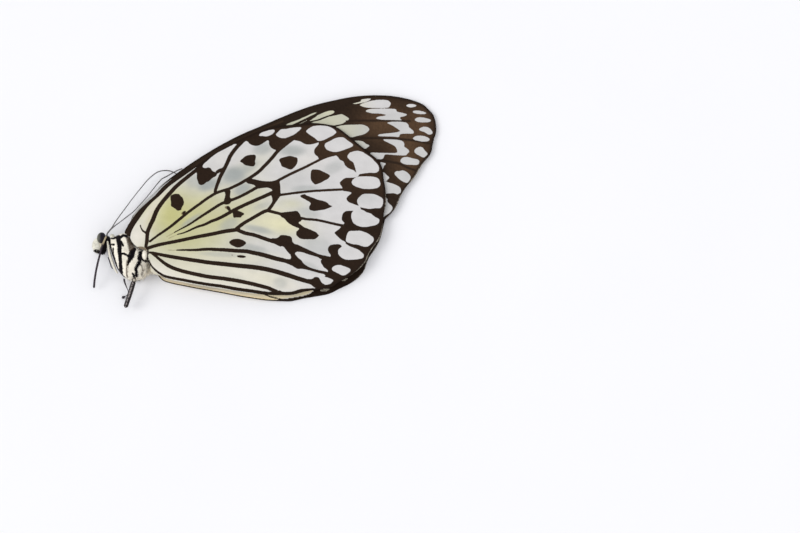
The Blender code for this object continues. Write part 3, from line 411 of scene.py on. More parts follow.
WHITE_WASHES = [
    ((-27.0, -9.5), (2.2, 3.2), -10.0, 1.0), ((-22.5, -17.5), (4.0, 1.6), -20.0, 0.85),
    ((-24.3, -3.2), (5.0, 0.9), 62.0, 0.75), ((-19.6, 3.0), (5.0, 0.7), 44.0, 0.8),
    ((-10.0, 9.0), (3.0, 2.2), 35.0, 0.2), ((8.5, 8.5), (4.0, 3.0), 0.0, 0.3),
    ((-5.0, -18.0), (9.0, 2.0), -8.0, 0.5), ((-12.0, -20.0), (9.0, 0.8), -7.0, 0.8),
    ((5.0, -20.2), (3.0, 1.0), -12.0, 0.6),
]
# where the pale edge scales are left: along the rear corners of the left wings
FRINGE_PLACES = [
    ((24.4, -9.5), (1.6, 3.0), -20.0, 1.0), ((22.3, -13.2), (1.5, 2.0), -30.0, 0.9),
    ((20.2, -16.0), (2.2, 1.0), 40.0, 0.6), ((25.9, -1.0), (0.8, 2.2), 0.0, 0.7),
    ((32.6, 5.6), (1.2, 3.6), -25.0, 0.8), ((28.6, -0.9), (1.2, 2.6), -25.0, 0.7),
    ((-27.6, -3.6), (5.0, 1.0), 54.0, 0.6),
]
# painted shade: grey clouds where the forewing's dark marks beneath show through the thin hindwing
SHOW_THROUGH_SHADE_WASHES = [
    ((-13.0, 2.5), (2.2, 1.5), 20.0, 0.95), ((-7.2, 5.0), (2.9, 2.1), 20.0, 1.0),
    ((-15.8, 3.4), (1.8, 1.6), 30.0, 0.45), ((-19.0, 3.5), (4.0, 0.6), 44.0, 0.35),
    ((-3.8, 7.2), (2.0, 1.3), 35.0, 0.6), ((-11.6, 3.0), (1.8, 1.4), 0.0, 0.5),
    ((-1.2, 11.4), (2.2, 1.5), 20.0, 0.7), ((5.2, 10.9), (3.0, 1.4), 0.0, 0.75),
    ((-5.3, 1.6), (2.2, 1.3), 30.0, 0.85), ((8.1, 1.9), (3.0, 0.9), 5.0, 0.6),
    ((9.0, -3.6), (2.6, 1.3), -10.0, 0.45), ((-7.9, -6.5), (2.3, 1.3), 35.0, 0.55),
    ((6.5, 4.6), (5.0, 2.6), 20.0, 0.2), ((-9.4, -18.2), (6.0, 1.2), -8.0, 0.25),
    ((-1.6, -7.6), (3.2, 0.8), -12.0, 0.7), ((11.4, -11.4), (3.8, 2.4), -25.0, 0.42),
    ((-2.6, -12.0), (3.4, 1.0), -12.0, 0.6), ((-9.5, -13.5), (4.5, 0.6), -2.0, 0.45),
    ((3.4, -19.6), (1.6, 1.2), -15.0, 0.45), ((14.5, 7.0), (2.6, 1.4), 25.0, 0.4),
    ((9.5, -16.0), (2.4, 1.0), -25.0, 0.4), ((-16.0, -6.0), (2.6, 0.7), 38.0, 0.6),
    ((-1.0, -2.2), (2.0, 0.7), 20.0, 0.35), ((21.5, 0.0), (2.5, 1.5), 0.0, 0.25),
]

# painted shade: beige shading of the folds beside the front vein near the root
FOLD_SHADE_WASHES = [
    ((-24.7, -5.0), (0.9, 3.6), -20.0, 0.22), ((-23.8, -8.0), (0.9, 1.2), 0.0, 0.2),
]
VEIN_EXTRA = 0.05

# the strip of the right hindwing that shows below the left one, read where it shows
STRIP = [
    (-23.5, -17.6), (-21.0, -18.3), (-13.0, -19.6), (-5.0, -20.8), (1.0, -21.5), (5.0, -21.4),
    (10.3, -20.8), (10.5, -21.4), (9.4, -22.1), (8.0, -22.5), (5.5, -22.95), (3.3, -23.25), (1.0, -24.0),
    (-5.0, -23.5), (-13.0, -22.3), (-21.0, -20.3), (-23.6, -19.2),
]
STRIP_LINE = [(-0.6, -21.95), (0.35, -22.25), (1.3, -22.65), (2.3, -22.9), (3.25, -23.15)]
STRIP_EDGE = 0.2
CORNER_TRIM = 0.75
CORNER_TRIM_PLACE = (24.0, -11.5)
CORNER_TRIM_RADIUS = 4.5
LOW_TRIM = 0.28
LOW_TRIM_PLACE = (13.7, -21.6)
LOW_TRIM_RADIUS = 2.2
# the dark corner of the right hindwing, and its pale spots painted dull as shade
DARK_CORNER = [
    (3.0, -22.9), (8.0, -22.2), (10.2, -20.5), (14.0, -19.0), (17.5, -16.5), (20.0, -13.0),
    (22.5, -10.0), (24.0, -6.0), (27.0, -6.0), (26.0, -13.0), (20.0, -20.5), (11.0, -24.0), (3.0, -24.0),
]
SHADED_PALE_SPOTS = [
    [(16.3, -19.2), (16.55, -18.85), (17.25, -18.4), (17.8, -18.3), (17.8, -18.8), (17.1, -19.15)],
    [(11.85, -21.0), (12.25, -20.8), (13.05, -20.7), (14.0, -20.55), (13.95, -21.0), (13.35, -21.4),
     (12.7, -21.55), (12.0, -21.45)],
]

# body
THORAX_OUTLINE = [
    (-24.4, -16.8), (-24.5, -15.5), (-25.2, -14.2), (-26.3, -13.2), (-27.5, -12.4),
    (-28.3, -11.1), (-29.1, -9.7), (-30.3, -9.5), (-31.8, -10.0), (-32.8, -10.3),
    (-33.1, -11.4), (-32.7, -12.9), (-32.2, -14.4), (-31.6, -16.0), (-30.9, -17.4),
    (-29.9, -18.5), (-28.6, -19.3), (-27.0, -19.3), (-25.7, -18.9), (-24.9, -18.0),
]
THORAX_CENTRE = (-29.0, -14.6)
THORAX_MIDDLE = 2.3
THORAX_HALF = 2.75
THORAX_FULLNESS = 0.55
THORAX_LEVELS = 90
THORAX_GROOVE = 0.16
THORAX_RIB = 0.05
HAIR_WIDTH = 0.03
WING_OVAL = (-25.38, -14.1)
WING_OVAL_HEIGHT = 4.5
WING_OVAL_RADII = (0.64, 1.2, 0.4)

# black and brown lines of the thorax: points, half widths
BODY_BLACK = [
    ([(-33.45, -9.9), (-33.3, -11.0), (-33.1, -12.0), (-32.9, -13.0), (-32.55, -14.0), (-32.15, -15.0),
      (-31.8, -16.0), (-31.4, -17.0), (-30.7, -17.9)], (0.42, 0.34, 0.34, 0.37, 0.38, 0.42, 0.44, 0.4, 0.32)),
    ([(-33.9, -9.9), (-33.2, -9.95), (-32.4, -10.15), (-31.6, -9.95), (-30.8, -10.0), (-30.3, -9.6),
      (-29.5, -9.9)], (0.25, 0.2, 0.22, 0.28, 0.22)),
    ([(-31.35, -10.0), (-31.15, -11.0), (-30.95, -12.0), (-30.93, -13.0), (-30.75, -14.0),
      (-30.65, -15.0), (-30.55, -16.0), (-30.45, -17.0), (-30.15, -18.2)],
     (0.5, 0.46, 0.44, 0.4, 0.36, 0.32, 0.32, 0.36, 0.15)),
    ([(-32.75, -11.5), (-32.25, -11.6)], (0.12, 0.22)),
    ([(-32.3, -12.4), (-32.28, -13.6), (-31.9, -14.8)], (0.1, 0.16)),
    ([(-30.7, -11.0), (-30.15, -11.95)], (0.2, 0.16)),
    ([(-30.7, -13.7), (-30.0, -13.7), (-29.4, -13.95), (-28.8, -14.4)], (0.16, 0.14)),
    ([(-27.7, -12.9), (-28.1, -13.5), (-28.35, -14.2), (-28.6, -14.9), (-28.85, -15.7), (-28.95, -16.2)],
     (0.4, 0.55, 0.65, 0.42, 0.2, 0.06)),
    ([(-26.5, -13.6), (-26.55, -14.5), (-26.5, -15.5), (-26.85, -16.1), (-27.2, -17.0), (-27.12, -18.0),
      (-27.0, -18.6)], (0.28, 0.36, 0.34, 0.34, 0.3, 0.26, 0.2)),
    ([(-25.0, -12.6), (-25.5, -12.85), (-26.0, -13.1)], (0.22, 0.14)),
    ([(-26.15, -13.1), (-26.1, -14.2), (-26.0, -14.9), (-25.5, -15.35), (-24.9, -15.4)], (0.08, 0.12, 0.1)),
    ([(-24.95, -13.2), (-24.85, -14.6), (-24.6, -15.4)], (0.08, 0.1)),
    ([(-27.9, -18.0), (-27.5, -18.9), (-27.9, -19.6)], (0.14, 0.3)),
    ([(-30.2, -18.2), (-29.6, -18.9)], (0.1, 0.16)),
]
BODY_BROWN = [
    ([(-29.5, -9.8), (-29.15, -10.6), (-28.8, -11.5), (-28.4, -12.4), (-28.2, -13.2)],
     (0.26, 0.38, 0.46, 0.6, 0.6)),
    ([(-29.2, -15.2), (-29.2, -16.6), (-29.15, -18.0), (-29.0, -18.9)], (0.12, 0.16, 0.14)),
    ([(-26.4, -16.0), (-25.95, -16.6), (-25.8, -17.4), (-26.05, -18.3)], (0.08, 0.1)),
    ([(-26.4, -12.7), (-25.8, -12.9), (-25.3, -12.7)], (0.2, 0.14)),
    ([(-25.0, -16.0), (-24.9, -17.8)], (0.0, 0.02)),
    ([(-24.6, -18.1), (-24.4, -18.3)], (0.1, 0.1)),
]
BODY_EXTRA = 0.05
# the head's dark patch and its brown rim
HEAD_BLACK = [
    (-33.6, -9.3), (-34.15, -10.5), (-34.8, -11.6), (-35.1, -12.7), (-34.95, -13.3), (-34.65, -13.8),
    (-33.4, -13.6), (-33.0, -12.2), (-33.0, -10.0),
]
HEAD_BROWN = ([(-33.95, -9.3), (-34.35, -10.4), (-34.9, -11.5)], (0.12, 0.2, 0.12))

ABDOMEN_START = (-24.35, -16.3)
ABDOMEN_END = (-1.0, -17.0)
ABDOMEN_SAG = -0.5
ABDOMEN_SHARES = (0.0, 0.04, 0.14, 0.32, 0.52, 0.70, 0.85, 0.95, 1.0)
ABDOMEN_WIDTHS = (0.9, 1.5, 1.65, 1.6, 1.5, 1.35, 1.05, 0.7, 0.3)
ABDOMEN_HEIGHTS = (0.55, 0.85, 0.92, 0.96, 0.9, 0.8, 0.65, 0.45, 0.22)
ABDOMEN_SEGMENTS = 9

HEAD_CENTRE = (-34.55, -11.2)
HEAD_MIDDLE = 2.6
HEAD_RADII = (1.0, 1.45, 1.3)
EYE_CENTRE = (-35.02, -9.96)
EYE_RADII = (0.96, 1.24, 0.74)
EYE_OFFSET = 1.22
PALP_CENTRE = (-35.85, -11.6)
PALP_RADII = (0.9, 1.4, 0.58)
PALP_OFFSET = 0.62
PALP_LEAN = math.radians(-4.0)
PALP_BRUSH = (-35.6, -12.85)
PALP_BRUSH_RADII = (0.85, 0.24, 0.5)
PALP_BRUSH_LEAN = math.radians(-22.0)
NAPE = (-34.3, -11.3)
NAPE_RADII = (0.6, 1.4, 1.25)
NECK = (-33.75, -10.65)
NECK_RADII = (0.72, 1.15, 1.0)
TUFT = (-32.4, -10.3)
TUFT_RISE = 1.6
TUFT_RADII = (0.42, 0.28, 0.4)
HIND_JOINT = (-27.5, -19.45)
HIND_JOINT_HEIGHT = 2.9
HIND_JOINT_RADII = (0.5, 0.64, 0.6)
JOINT_RING = 0.4
JOINT_RING_HALF = 0.07
FORELEG_CENTRE = (-34.35, -12.85)
FORELEG_RADII = (0.5, 0.8, 0.55)
FORELEG_HEIGHT = 1.6
FORELEG_LEAN = math.radians(-22.0)

# antennae and legs: points read, each with its height
LEFT_ANTENNA = [
    (-33.8, -9.75, 3.6), (-33.75, -8.95, 4.3), (-32.6, -7.6, 4.3), (-31.0, -6.3, 4.2), (-28.5, -4.1, 4.0),
    (-27.3, -2.6, 3.9), (-25.9, -0.7, 3.7), (-24.6, 1.3, 3.5), (-23.6, 2.8, 3.4),
    (-22.8, 3.8, 3.3), (-21.8, 4.4, 3.2), (-20.8, 5.1, 3.2), (-19.6, 5.85, 3.3), (-18.45, 6.35, 3.4),
]
RIGHT_ANTENNA = [
    (-33.85, -9.7, 2.5), (-33.75, -8.9, 2.3), (-32.9, -7.7, 2.3), (-32.0, -6.0, 2.2), (-30.4, -3.4, 2.0),
    (-28.5, -0.3, 1.8), (-26.9, 2.1, 1.7), (-26.0, 3.4, 1.6), (-24.8, 4.7, 1.5),
    (-23.7, 5.5, 1.4), (-22.5, 5.8, 1.4), (-21.3, 5.75, 1.3), (-20.3, 5.35, 1.3), (-19.75, 5.1, 1.3),
]
LEFT_MID_FEMUR = [
    (-31.1, -18.0, 2.7), (-31.7, -17.0, 2.9), (-32.4, -15.4, 3.1), (-32.95, -13.8, 3.3),
    (-33.35, -12.3, 3.6), (-33.65, -10.7, 4.0),
]
LEFT_MID_TIBIA = [
    (-34.0, -9.6, 4.7), (-34.7, -11.6, 4.7), (-35.05, -13.2, 4.3), (-35.5, -15.5, 3.3),
    (-35.8, -17.4, 2.5), (-36.0, -19.4, 1.7), (-36.05, -21.05, 1.1),
]
RIGHT_MID_TIBIA = [(-33.35, -14.3, 1.0), (-32.9, -15.4, 0.8), (-32.6, -16.3, 0.6), (-32.2, -16.95, 0.4)]
LEFT_HIND_FEMUR = [(-27.55, -19.6, 3.05), (-28.12, -21.75, 2.7), (-28.7, -23.8, 2.2), (-29.15, -25.4, 1.8)]
RIGHT_HIND_TIBIA = [
    (-29.7, -19.1, 1.0), (-29.4, -20.2, 0.8), (-28.95, -21.2, 0.7), (-28.7, -21.9, 0.6),
    (-28.85, -22.6, 0.5), (-29.6, -23.1, 0.4), (-30.0, -23.25, 0.4),
]


# shapes of lines and areas
def smooth(points, closed=True, steps=3):
    """Rounded line through the points."""
    given = np.asarray(points, float)
    count = len(given)
    found = []
    spans = count if closed else count - 1
    for index in range(spans):
        near = [index - 1, index, index + 1, index + 2]
        if closed:
            near = [place % count for place in near]
        else:
            near = [min(max(place, 0), count - 1) for place in near]
        a, b, c, d = (given[place] for place in near)
        for step in range(steps):
            t = step / steps
            curve = 2.0 * b + (c - a) * t + (2.0 * a - 5.0 * b + 4.0 * c - d) * t ** 2
            found.append(0.5 * (curve + (3.0 * b - a - 3.0 * c + d) * t ** 3))
    if not closed:
        found.append(given[-1])
    return np.array(found)


def line_distance(u, v, line, halves):
    """Distance to a line less its half width, which changes evenly along its points."""
    widths = np.interp(np.linspace(0.0, 1.0, len(line)), np.linspace(0.0, 1.0, len(halves)), halves)
    nearest = np.full(u.shape, 1e3)
    for index in range(len(line) - 1):
        (x, y), (far_x, far_y) = line[index], line[index + 1]
        run_x = far_x - x
        run_y = far_y - y
        length = max(run_x ** 2 + run_y ** 2, 1e-12)
        share = np.clip(((u - x) * run_x + (v - y) * run_y) / length, 0.0, 1.0)
        gap = np.hypot(u - x - share * run_x, v - y - share * run_y)
        width = widths[index] + (widths[index + 1] - widths[index]) * share
        nearest = np.minimum(nearest, gap - width)
    return nearest


def area_distance(u, v, outline):
    """Distance to an outline, below zero inside it."""
    nearest = np.full(u.shape, 1e3)
    inside = np.zeros(u.shape, bool)
    for index in range(len(outline)):
        (x, y), (far_x, far_y) = outline[index], outline[(index + 1) % len(outline)]
        run_x = far_x - x
        run_y = far_y - y
        length = max(run_x ** 2 + run_y ** 2, 1e-12)
        share = np.clip(((u - x) * run_x + (v - y) * run_y) / length, 0.0, 1.0)
        nearest = np.minimum(nearest, np.hypot(u - x - share * run_x, v - y - share * run_y))
        crosses = (y > v) != (far_y > v)
        rise = run_y if abs(run_y) > 1e-9 else 1e-9
        inside ^= crosses & (u < x + (v - y) * run_x / rise)
    return np.where(inside, -nearest, nearest)


def least(parts):
    nearest = parts[0]
    for part in parts[1:]:
        nearest = np.minimum(nearest, part)
    return nearest


def washes(u, v, spots, power=1.0):
    """Soft clouds, from 0 to 1; a higher power gives them a firmer edge."""
    total = np.zeros(u.shape)
    for (x, y), (reach_x, reach_y), lean, strength in spots:
        angle = math.radians(lean)
        along = (u - x) * math.cos(angle) + (v - y) * math.sin(angle)
        across = (v - y) * math.cos(angle) - (u - x) * math.sin(angle)
        cloud = strength * np.exp(-((along / reach_x) ** 2 + (across / reach_y) ** 2) ** power)
        total = total + cloud - total * cloud
    return np.clip(total, 0.0, 1.0)


# heights of the wings
def falloff(x, y, centre, radius):
    return np.exp(-((x - centre[0]) ** 2 + (y - centre[1]) ** 2) / radius ** 2)


def reading_height(x, y):
    return 1.75 + 2.1 * falloff(x, y, ROOT, 24.0) + 1.1 * falloff(x, y, ROOT, 7.0)


def middle(x, y):
    ripple = RIPPLE * np.sin(x / RIPPLE_X) * np.cos(y / RIPPLE_Y)
    droop = APEX_DROOP * falloff(x, y, APEX, APEX_RADIUS)
    return FAR_HEIGHT + ROOT_RISE * falloff(x, y, ROOT, ROOT_RISE_RADIUS) + ripple - droop


def spread(x, y):
    return ROOT_SPREAD * falloff(x, y, ROOT, ROOT_SPREAD_RADIUS)


def abdomen_axis(share):
    x = ABDOMEN_START[0] + (ABDOMEN_END[0] - ABDOMEN_START[0]) * share
    y = ABDOMEN_START[1] + (ABDOMEN_END[1] - ABDOMEN_START[1]) * share
    return x, y + ABDOMEN_SAG * np.sin(np.pi * share)


def belly(x, y):
    share = (x - ABDOMEN_START[0]) / (ABDOMEN_END[0] - ABDOMEN_START[0])
    axis_y = abdomen_axis(np.clip(share, 0.0, 1.0))[1]
    past = np.maximum(x - BELLY_END, 0.0) + np.maximum(BELLY_START - x, 0.0)
    return BELLY_LIFT * np.exp(-(past / BELLY_FADE) ** 2) * np.exp(-((y - axis_y) / BELLY_WIDTH) ** 2)


def left_hind_height(x, y):
    lift = CORNER_LIFT * falloff(x, y, CORNER, CORNER_RADIUS)
    return middle(x, y) + 1.5 * LAYER_STEP + spread(x, y) + belly(x, y) + lift


def left_fore_height(x, y):
    return middle(x, y) + 0.5 * LAYER_STEP + spread(x, y)


def right_fore_height(x, y):
    return middle(x, y) - 0.5 * LAYER_STEP - spread(x, y)


def right_hind_height(x, y):
    droop = LOW_EDGE_DROOP * falloff(x, y, LOW_EDGE, LOW_EDGE_RADIUS)
    return middle(x, y) - 1.5 * LAYER_STEP - spread(x, y) - belly(x, y) - droop


# from read points to places and back
def seen(x, y, z):
    """Where a read point lies in plan, at height z."""
    share = (EYE_POINT[2] - z) / (EYE_POINT[2] - reading_height(x, y))
    return EYE_POINT[0] + (x - EYE_POINT[0]) * share, EYE_POINT[1] + (y - EYE_POINT[1]) * share


def as_read(x, y, z):
    """Where a place would have been read."""
    u, v = x, y
    for _ in range(4):
        share = (EYE_POINT[2] - z) / (EYE_POINT[2] - reading_height(u, v))
        u = EYE_POINT[0] + (x - EYE_POINT[0]) / share
        v = EYE_POINT[1] + (y - EYE_POINT[1]) / share
    return u, v


def turned(x, y, angle, shift=(0.0, 0.0)):
    """A place turned about the wing root, then moved."""
    run_x = x - ROOT[0]
    run_y = y - ROOT[1]
    new_x = ROOT[0] + run_x * math.cos(angle) - run_y * math.sin(angle) + shift[0]
    new_y = ROOT[1] + run_x * math.sin(angle) + run_y * math.cos(angle) + shift[1]
    return new_x, new_y


def turned_back(x, y, angle, shift=(0.0, 0.0)):
    return turned(x - shift[0], y - shift[1], -angle)


def placed(x, y, z):
    """Millimetres as an array of places in metres."""
    return np.stack([(x + CENTRE_SHIFT[0]) * MM, (y + CENTRE_SHIFT[1]) * MM, z * MM], axis=-1)


# patterns
def hind_pattern(u, v):
    """Markings of a hindwing: distances to its dark and faint marks, its washes and its veins."""
    border = area_distance(u, v, smooth(HIND_BORDER, steps=2))
    windows = least([area_distance(u, v, smooth(window)) for window in HIND_WINDOWS])
    veins = [(smooth(line, closed=False), halves) for line, halves in HIND_VEINS]
    strokes = least([line_distance(u, v, line, halves) for line, halves in veins]) - VEIN_EXTRA
    spots = least([area_distance(u, v, smooth(spot)) for spot in HIND_SPOTS])
    ink = least([np.maximum(border, -windows), strokes, spots])
    faint = least(
        [area_distance(u, v, smooth(spot)) for spot in HIND_FAINT_SPOTS]
        + [line_distance(u, v, line, halves) for line, halves in HIND_FAINT_VEINS])
    ridge = least([line_distance(u, v, line, (0.0, 0.0)) for line, _ in veins])
    return {
        "ink": ink,
        "faint": faint,
        "yellow": washes(u, v, YELLOW_WASHES),
        "cream": washes(u, v, CREAM_WASHES),
        "white": washes(u, v, WHITE_WASHES),
        # painted shade of the marks beneath, seen through the membrane
        "cool": washes(u, v, SHOW_THROUGH_SHADE_WASHES, 2.0),
        # painted fold shade on the left hindwing
        "tan": washes(u, v, FOLD_SHADE_WASHES),
        "brown": np.clip((u + 2.0) / 20.0, 0.0, 1.0) * np.clip((v + 4.0) / 16.0, 0.0, 1.0) * 0.4 + 0.08,
        "ridge": ridge,
    }


def fore_pattern(u, v):
    """Markings of a forewing: dark, with pale shapes."""
    windows = least([area_distance(u, v, smooth(window)) for window in FORE_WINDOWS])
    inner = area_distance(u, v, smooth(FORE_INNER))
    veins = [(smooth(line, closed=False), halves) for line, halves in FORE_VEINS]
    strokes = least([line_distance(u, v, line, halves) for line, halves in veins])
    pale = np.minimum(windows, inner)
    rim = line_distance(u, v, smooth(FORE_RIM, closed=False), FORE_RIM_HALVES)
    ink = np.maximum(np.minimum(-pale, strokes), -rim)
    ridge = least([line_distance(u, v, line, (0.0, 0.0)) for line, _ in veins])
    browns = [(centre, radii, 0.0, 0.9) for centre, radii in FORE_BROWN]
    on_vein = np.clip(1.0 - strokes / 0.25, 0.0, 1.0)
    band = np.clip(-line_distance(u, v, np.array(FORE_BAND_MIDDLE), (0.2, 0.28)) / 0.2, 0.0, 1.0)
    inner_share = np.where(rim < 0.2, 0.0, 1.0)
    grey = (np.clip((26.0 - u) / 4.0, 0.0, 1.0) * 0.2 + 0.22) * np.clip((21.5 - v) / 2.0, 0.0, 1.0)
    return {
        "ink": ink,
        "faint": np.full(u.shape, 1e3),
        "yellow": np.clip((22.0 - u) / 8.0, 0.0, 1.0) * 0.55 * inner_share,
        "cream": np.clip((24.0 - u) / 6.0, 0.0, 1.0) * 0.4 * inner_share,
        "white": np.zeros(u.shape),
        "cool": np.where(rim < 0.2, 0.35, grey),
        "tan": np.zeros(u.shape),
        "brown": np.clip(washes(u, v, browns) + 0.28 * band, 0.0, 1.0) * (1.0 - on_vein),
        "ridge": ridge,
    }


# meshes
def new_object(name, mesh):
    made = bpy.data.objects.new(name, mesh)
    bpy.context.scene.collection.objects.link(made)
    return made


def new_mesh(name, verts, faces, fields=None):
    """A smooth mesh with number attributes on its points."""
    mesh = bpy.data.meshes.new(name)
    mesh.from_pydata(verts.tolist(), [], faces)
    mesh.polygons.foreach_set("use_smooth", [True] * len(mesh.polygons))
    for key, values in (fields or {}).items():
        layer = mesh.attributes.new(key, "FLOAT", "POINT")
        layer.data.foreach_set("value", np.asarray(values, np.float32))
    mesh.update()
    return mesh


def finish_piece(made, node, material):
    """Ties a piece to the part."""
    made.data.materials.clear()
    made.data.materials.append(material)
    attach(made, "root")
    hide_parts(node)
    return made


def hex_grid(outline, spacing):
    """Points of a regular grid inside an outline, clear of its edge."""
    low = outline.min(axis=0)
    high = outline.max(axis=0)
    rows = np.arange(low[1], high[1], spacing * math.sqrt(3.0) / 2.0)
    columns = np.arange(low[0], high[0], spacing)
    x, y = np.meshgrid(columns, rows)
    x = x + (np.arange(len(rows)) % 2)[:, None] * spacing / 2.0
    x, y = x.ravel(), y.ravel()
    keep = area_distance(x, y, outline) < -0.6 * spacing
    return x[keep], y[keep]


def spaced(line, spacing):
    """Points at even steps along a line."""
    steps = np.hypot(*np.diff(line, axis=0).T)
    along = np.concatenate([[0.0], np.cumsum(steps)])
    count = max(int(along[-1] / spacing), 2)
    where = np.linspace(0.0, along[-1], count)
    return np.stack([np.interp(where, along, line[:, 0]), np.interp(where, along, line[:, 1])], axis=-1)


def triangulated(outline, inner_x, inner_y):
    """Triangles over an outline and its inner points."""
    points = [Vector(point) for point in outline.tolist()]
    points += [Vector(point) for point in zip(inner_x.tolist(), inner_y.tolist())]
    loop = [list(range(len(outline)))]
    found = delaunay_2d_cdt(points, [], loop, 1, 1e-4)
    flat = np.array([tuple(point) for point in found[0]])
    return flat, np.array(found[2])


def wing_piece(name, node, outline, spacing, height, read, pattern, vein_lines, material):
    """A thin closed sheet over an outline, with raised veins and its markings as attributes."""
    edge = spaced(np.vstack([smooth(outline), smooth(outline)[:1]]), spacing)[:-1]
    x, y = hex_grid(edge, spacing)
    lines = [spaced(line, spacing) for line in vein_lines]
    on_vein = np.vstack(lines)
    on_vein = on_vein[area_distance(on_vein[:, 0], on_vein[:, 1], edge) < -0.6 * spacing]
    gap = least([line_distance(x, y, line, (0.0, 0.0)) for line in lines])
    keep = gap > 0.45 * spacing
    x = np.concatenate([x[keep], on_vein[:, 0]])
    y = np.concatenate([y[keep], on_vein[:, 1]])
    flat, triangles = triangulated(edge, x, y)
    x, y = flat[:, 0], flat[:, 1]
    u, v = read(x, y)
    fields = pattern(u, v)
    to_edge = -area_distance(x, y, edge)
    fields["fringe"] = np.clip(1.0 - to_edge / FRINGE_WIDTH, 0.0, 1.0) * washes(u, v, FRINGE_PLACES)
    fields["brown"] = fields["brown"] * np.clip((to_edge - DARK_RIM) / DARK_RIM_FADE, 0.0, 1.0)
    ridge = VEIN_RISE * np.exp(-(fields.pop("ridge") / VEIN_REACH) ** 2)
    pleat = PLEAT * np.sin(v * 2.3 + 0.8 * np.sin(u * 0.6)) * np.sin(u * 0.45 + v * 0.9)
    level = height(x, y) + pleat
    top = placed(x, y, level + SHEET_HALF + ridge)
    bottom = placed(x, y, level - SHEET_HALF - ridge)
    count = len(x)
    shift = triangles[:, ::-1] + count
    corners = np.concatenate([triangles[:, [0, 1]], triangles[:, [1, 2]], triangles[:, [2, 0]]])
    pairs = set(map(tuple, corners.tolist()))
    rim = [(b, a, a + count, b + count) for a, b in pairs if (b, a) not in pairs]
    faces = triangles.tolist() + shift.tolist() + rim
    fields = {key: np.concatenate([value, value]) for key, value in fields.items()}
    mesh = new_mesh(name, np.concatenate([top, bottom]), faces, fields)
    return finish_piece(new_object(name, mesh), node, material)


def rod(name, places, radii, sides=12, ring_step=0.0, ring_depth=0.0):
    """A closed round bar through places in millimetres, with radii along it and optional rings."""
    line = smooth(places, closed=False, steps=6)
    steps = np.linalg.norm(np.diff(line, axis=0), axis=1)
    along = np.concatenate([[0.0], np.cumsum(steps)])
    count = max(int(along[-1] / 0.12), 8)
    where = np.linspace(0.0, along[-1], count)
    line = np.stack([np.interp(where, along, line[:, axis]) for axis in range(3)], axis=-1)
    radius = np.interp(where / along[-1], np.linspace(0.0, 1.0, len(radii)), radii)
    if ring_step:
        radius = radius * (1.0 - ring_depth * (np.cos(2.0 * np.pi * where / ring_step) > 0.75))
    ends = np.sqrt(np.clip(np.minimum(where, along[-1] - where) / (radius * 0.8), 0.04, 1.0))
    radius = radius * ends
    forward = np.gradient(line, axis=0)
    forward /= np.linalg.norm(forward, axis=1)[:, None]
    side = np.cross(forward, (0.0, 0.0, 1.0))
    side /= np.linalg.norm(side, axis=1)[:, None]
    up = np.cross(side, forward)
    angles = np.linspace(0.0, 2.0 * np.pi, sides, endpoint=False)
    ring = np.cos(angles)[None, :, None] * side[:, None, :] + np.sin(angles)[None, :, None] * up[:, None, :]
    verts = (line[:, None, :] + ring * radius[:, None, None]).reshape(-1, 3)
    faces = []
    for step in range(count - 1):
        for index in range(sides):
            a = step * sides + index
            b = step * sides + (index + 1) % sides
            faces.append((a, b, b + sides, a + sides))
    faces.append(tuple(range(sides))[::-1])
    faces.append(tuple(range((count - 1) * sides, count * sides)))
    around = np.tile(np.sin(angles), count)
    share = np.repeat(where / along[-1], sides)
    placed_verts = placed(verts[:, 0], verts[:, 1], verts[:, 2])
    mesh = new_mesh(name, placed_verts, faces, {"around": around, "along": share})
    return new_object(name, mesh)


def egg(name, centre, radii, lean=0.0, sides=64, rings=40, lump=0.0, marks=None):
    """An egg-shaped body with slight lumps, in millimetres; marks turns read points into attributes."""
    angles = np.linspace(0.0, 2.0 * np.pi, sides, endpoint=False)
    levels = np.linspace(0.0, np.pi, rings + 1)
    angle, level = np.meshgrid(angles, levels[1:-1])
    x = np.concatenate([(np.cos(angle) * np.sin(level)).ravel(), [0.0, 0.0]])
    y = np.concatenate([(np.sin(angle) * np.sin(level)).ravel(), [0.0, 0.0]])
    z = np.concatenate([np.cos(level).ravel(), [1.0, -1.0]])
    swell = 1.0 + lump * np.sin(5.0 * x + 2.0 * z) * np.cos(4.0 * y - 3.0 * z)
    out_x = x * radii[0] * swell
    out_y = y * radii[1] * swell
    far_x = centre[0] + out_x * math.cos(lean) - out_y * math.sin(lean)
    far_y = centre[1] + out_x * math.sin(lean) + out_y * math.cos(lean)
    verts = placed(far_x, far_y, centre[2] + z * radii[2] * swell)
    faces = []
    rows = rings - 1
    for row in range(rows - 1):
        for index in range(sides):
            a = row * sides + index
            b = row * sides + (index + 1) % sides
            faces.append((a, a + sides, b + sides, b))
    top, bottom = rows * sides, rows * sides + 1
    for index in range(sides):
        after = (index + 1) % sides
        faces.append((top, index, after))
        faces.append((bottom, (rows - 1) * sides + after, (rows - 1) * sides + index))
    fields = {"across": x}
    if marks:
        read = as_read(far_x, far_y, centre[2] + np.abs(z) * radii[2])
        fields.update(marks(*read))
    return new_object(name, new_mesh(name, verts, faces, fields))


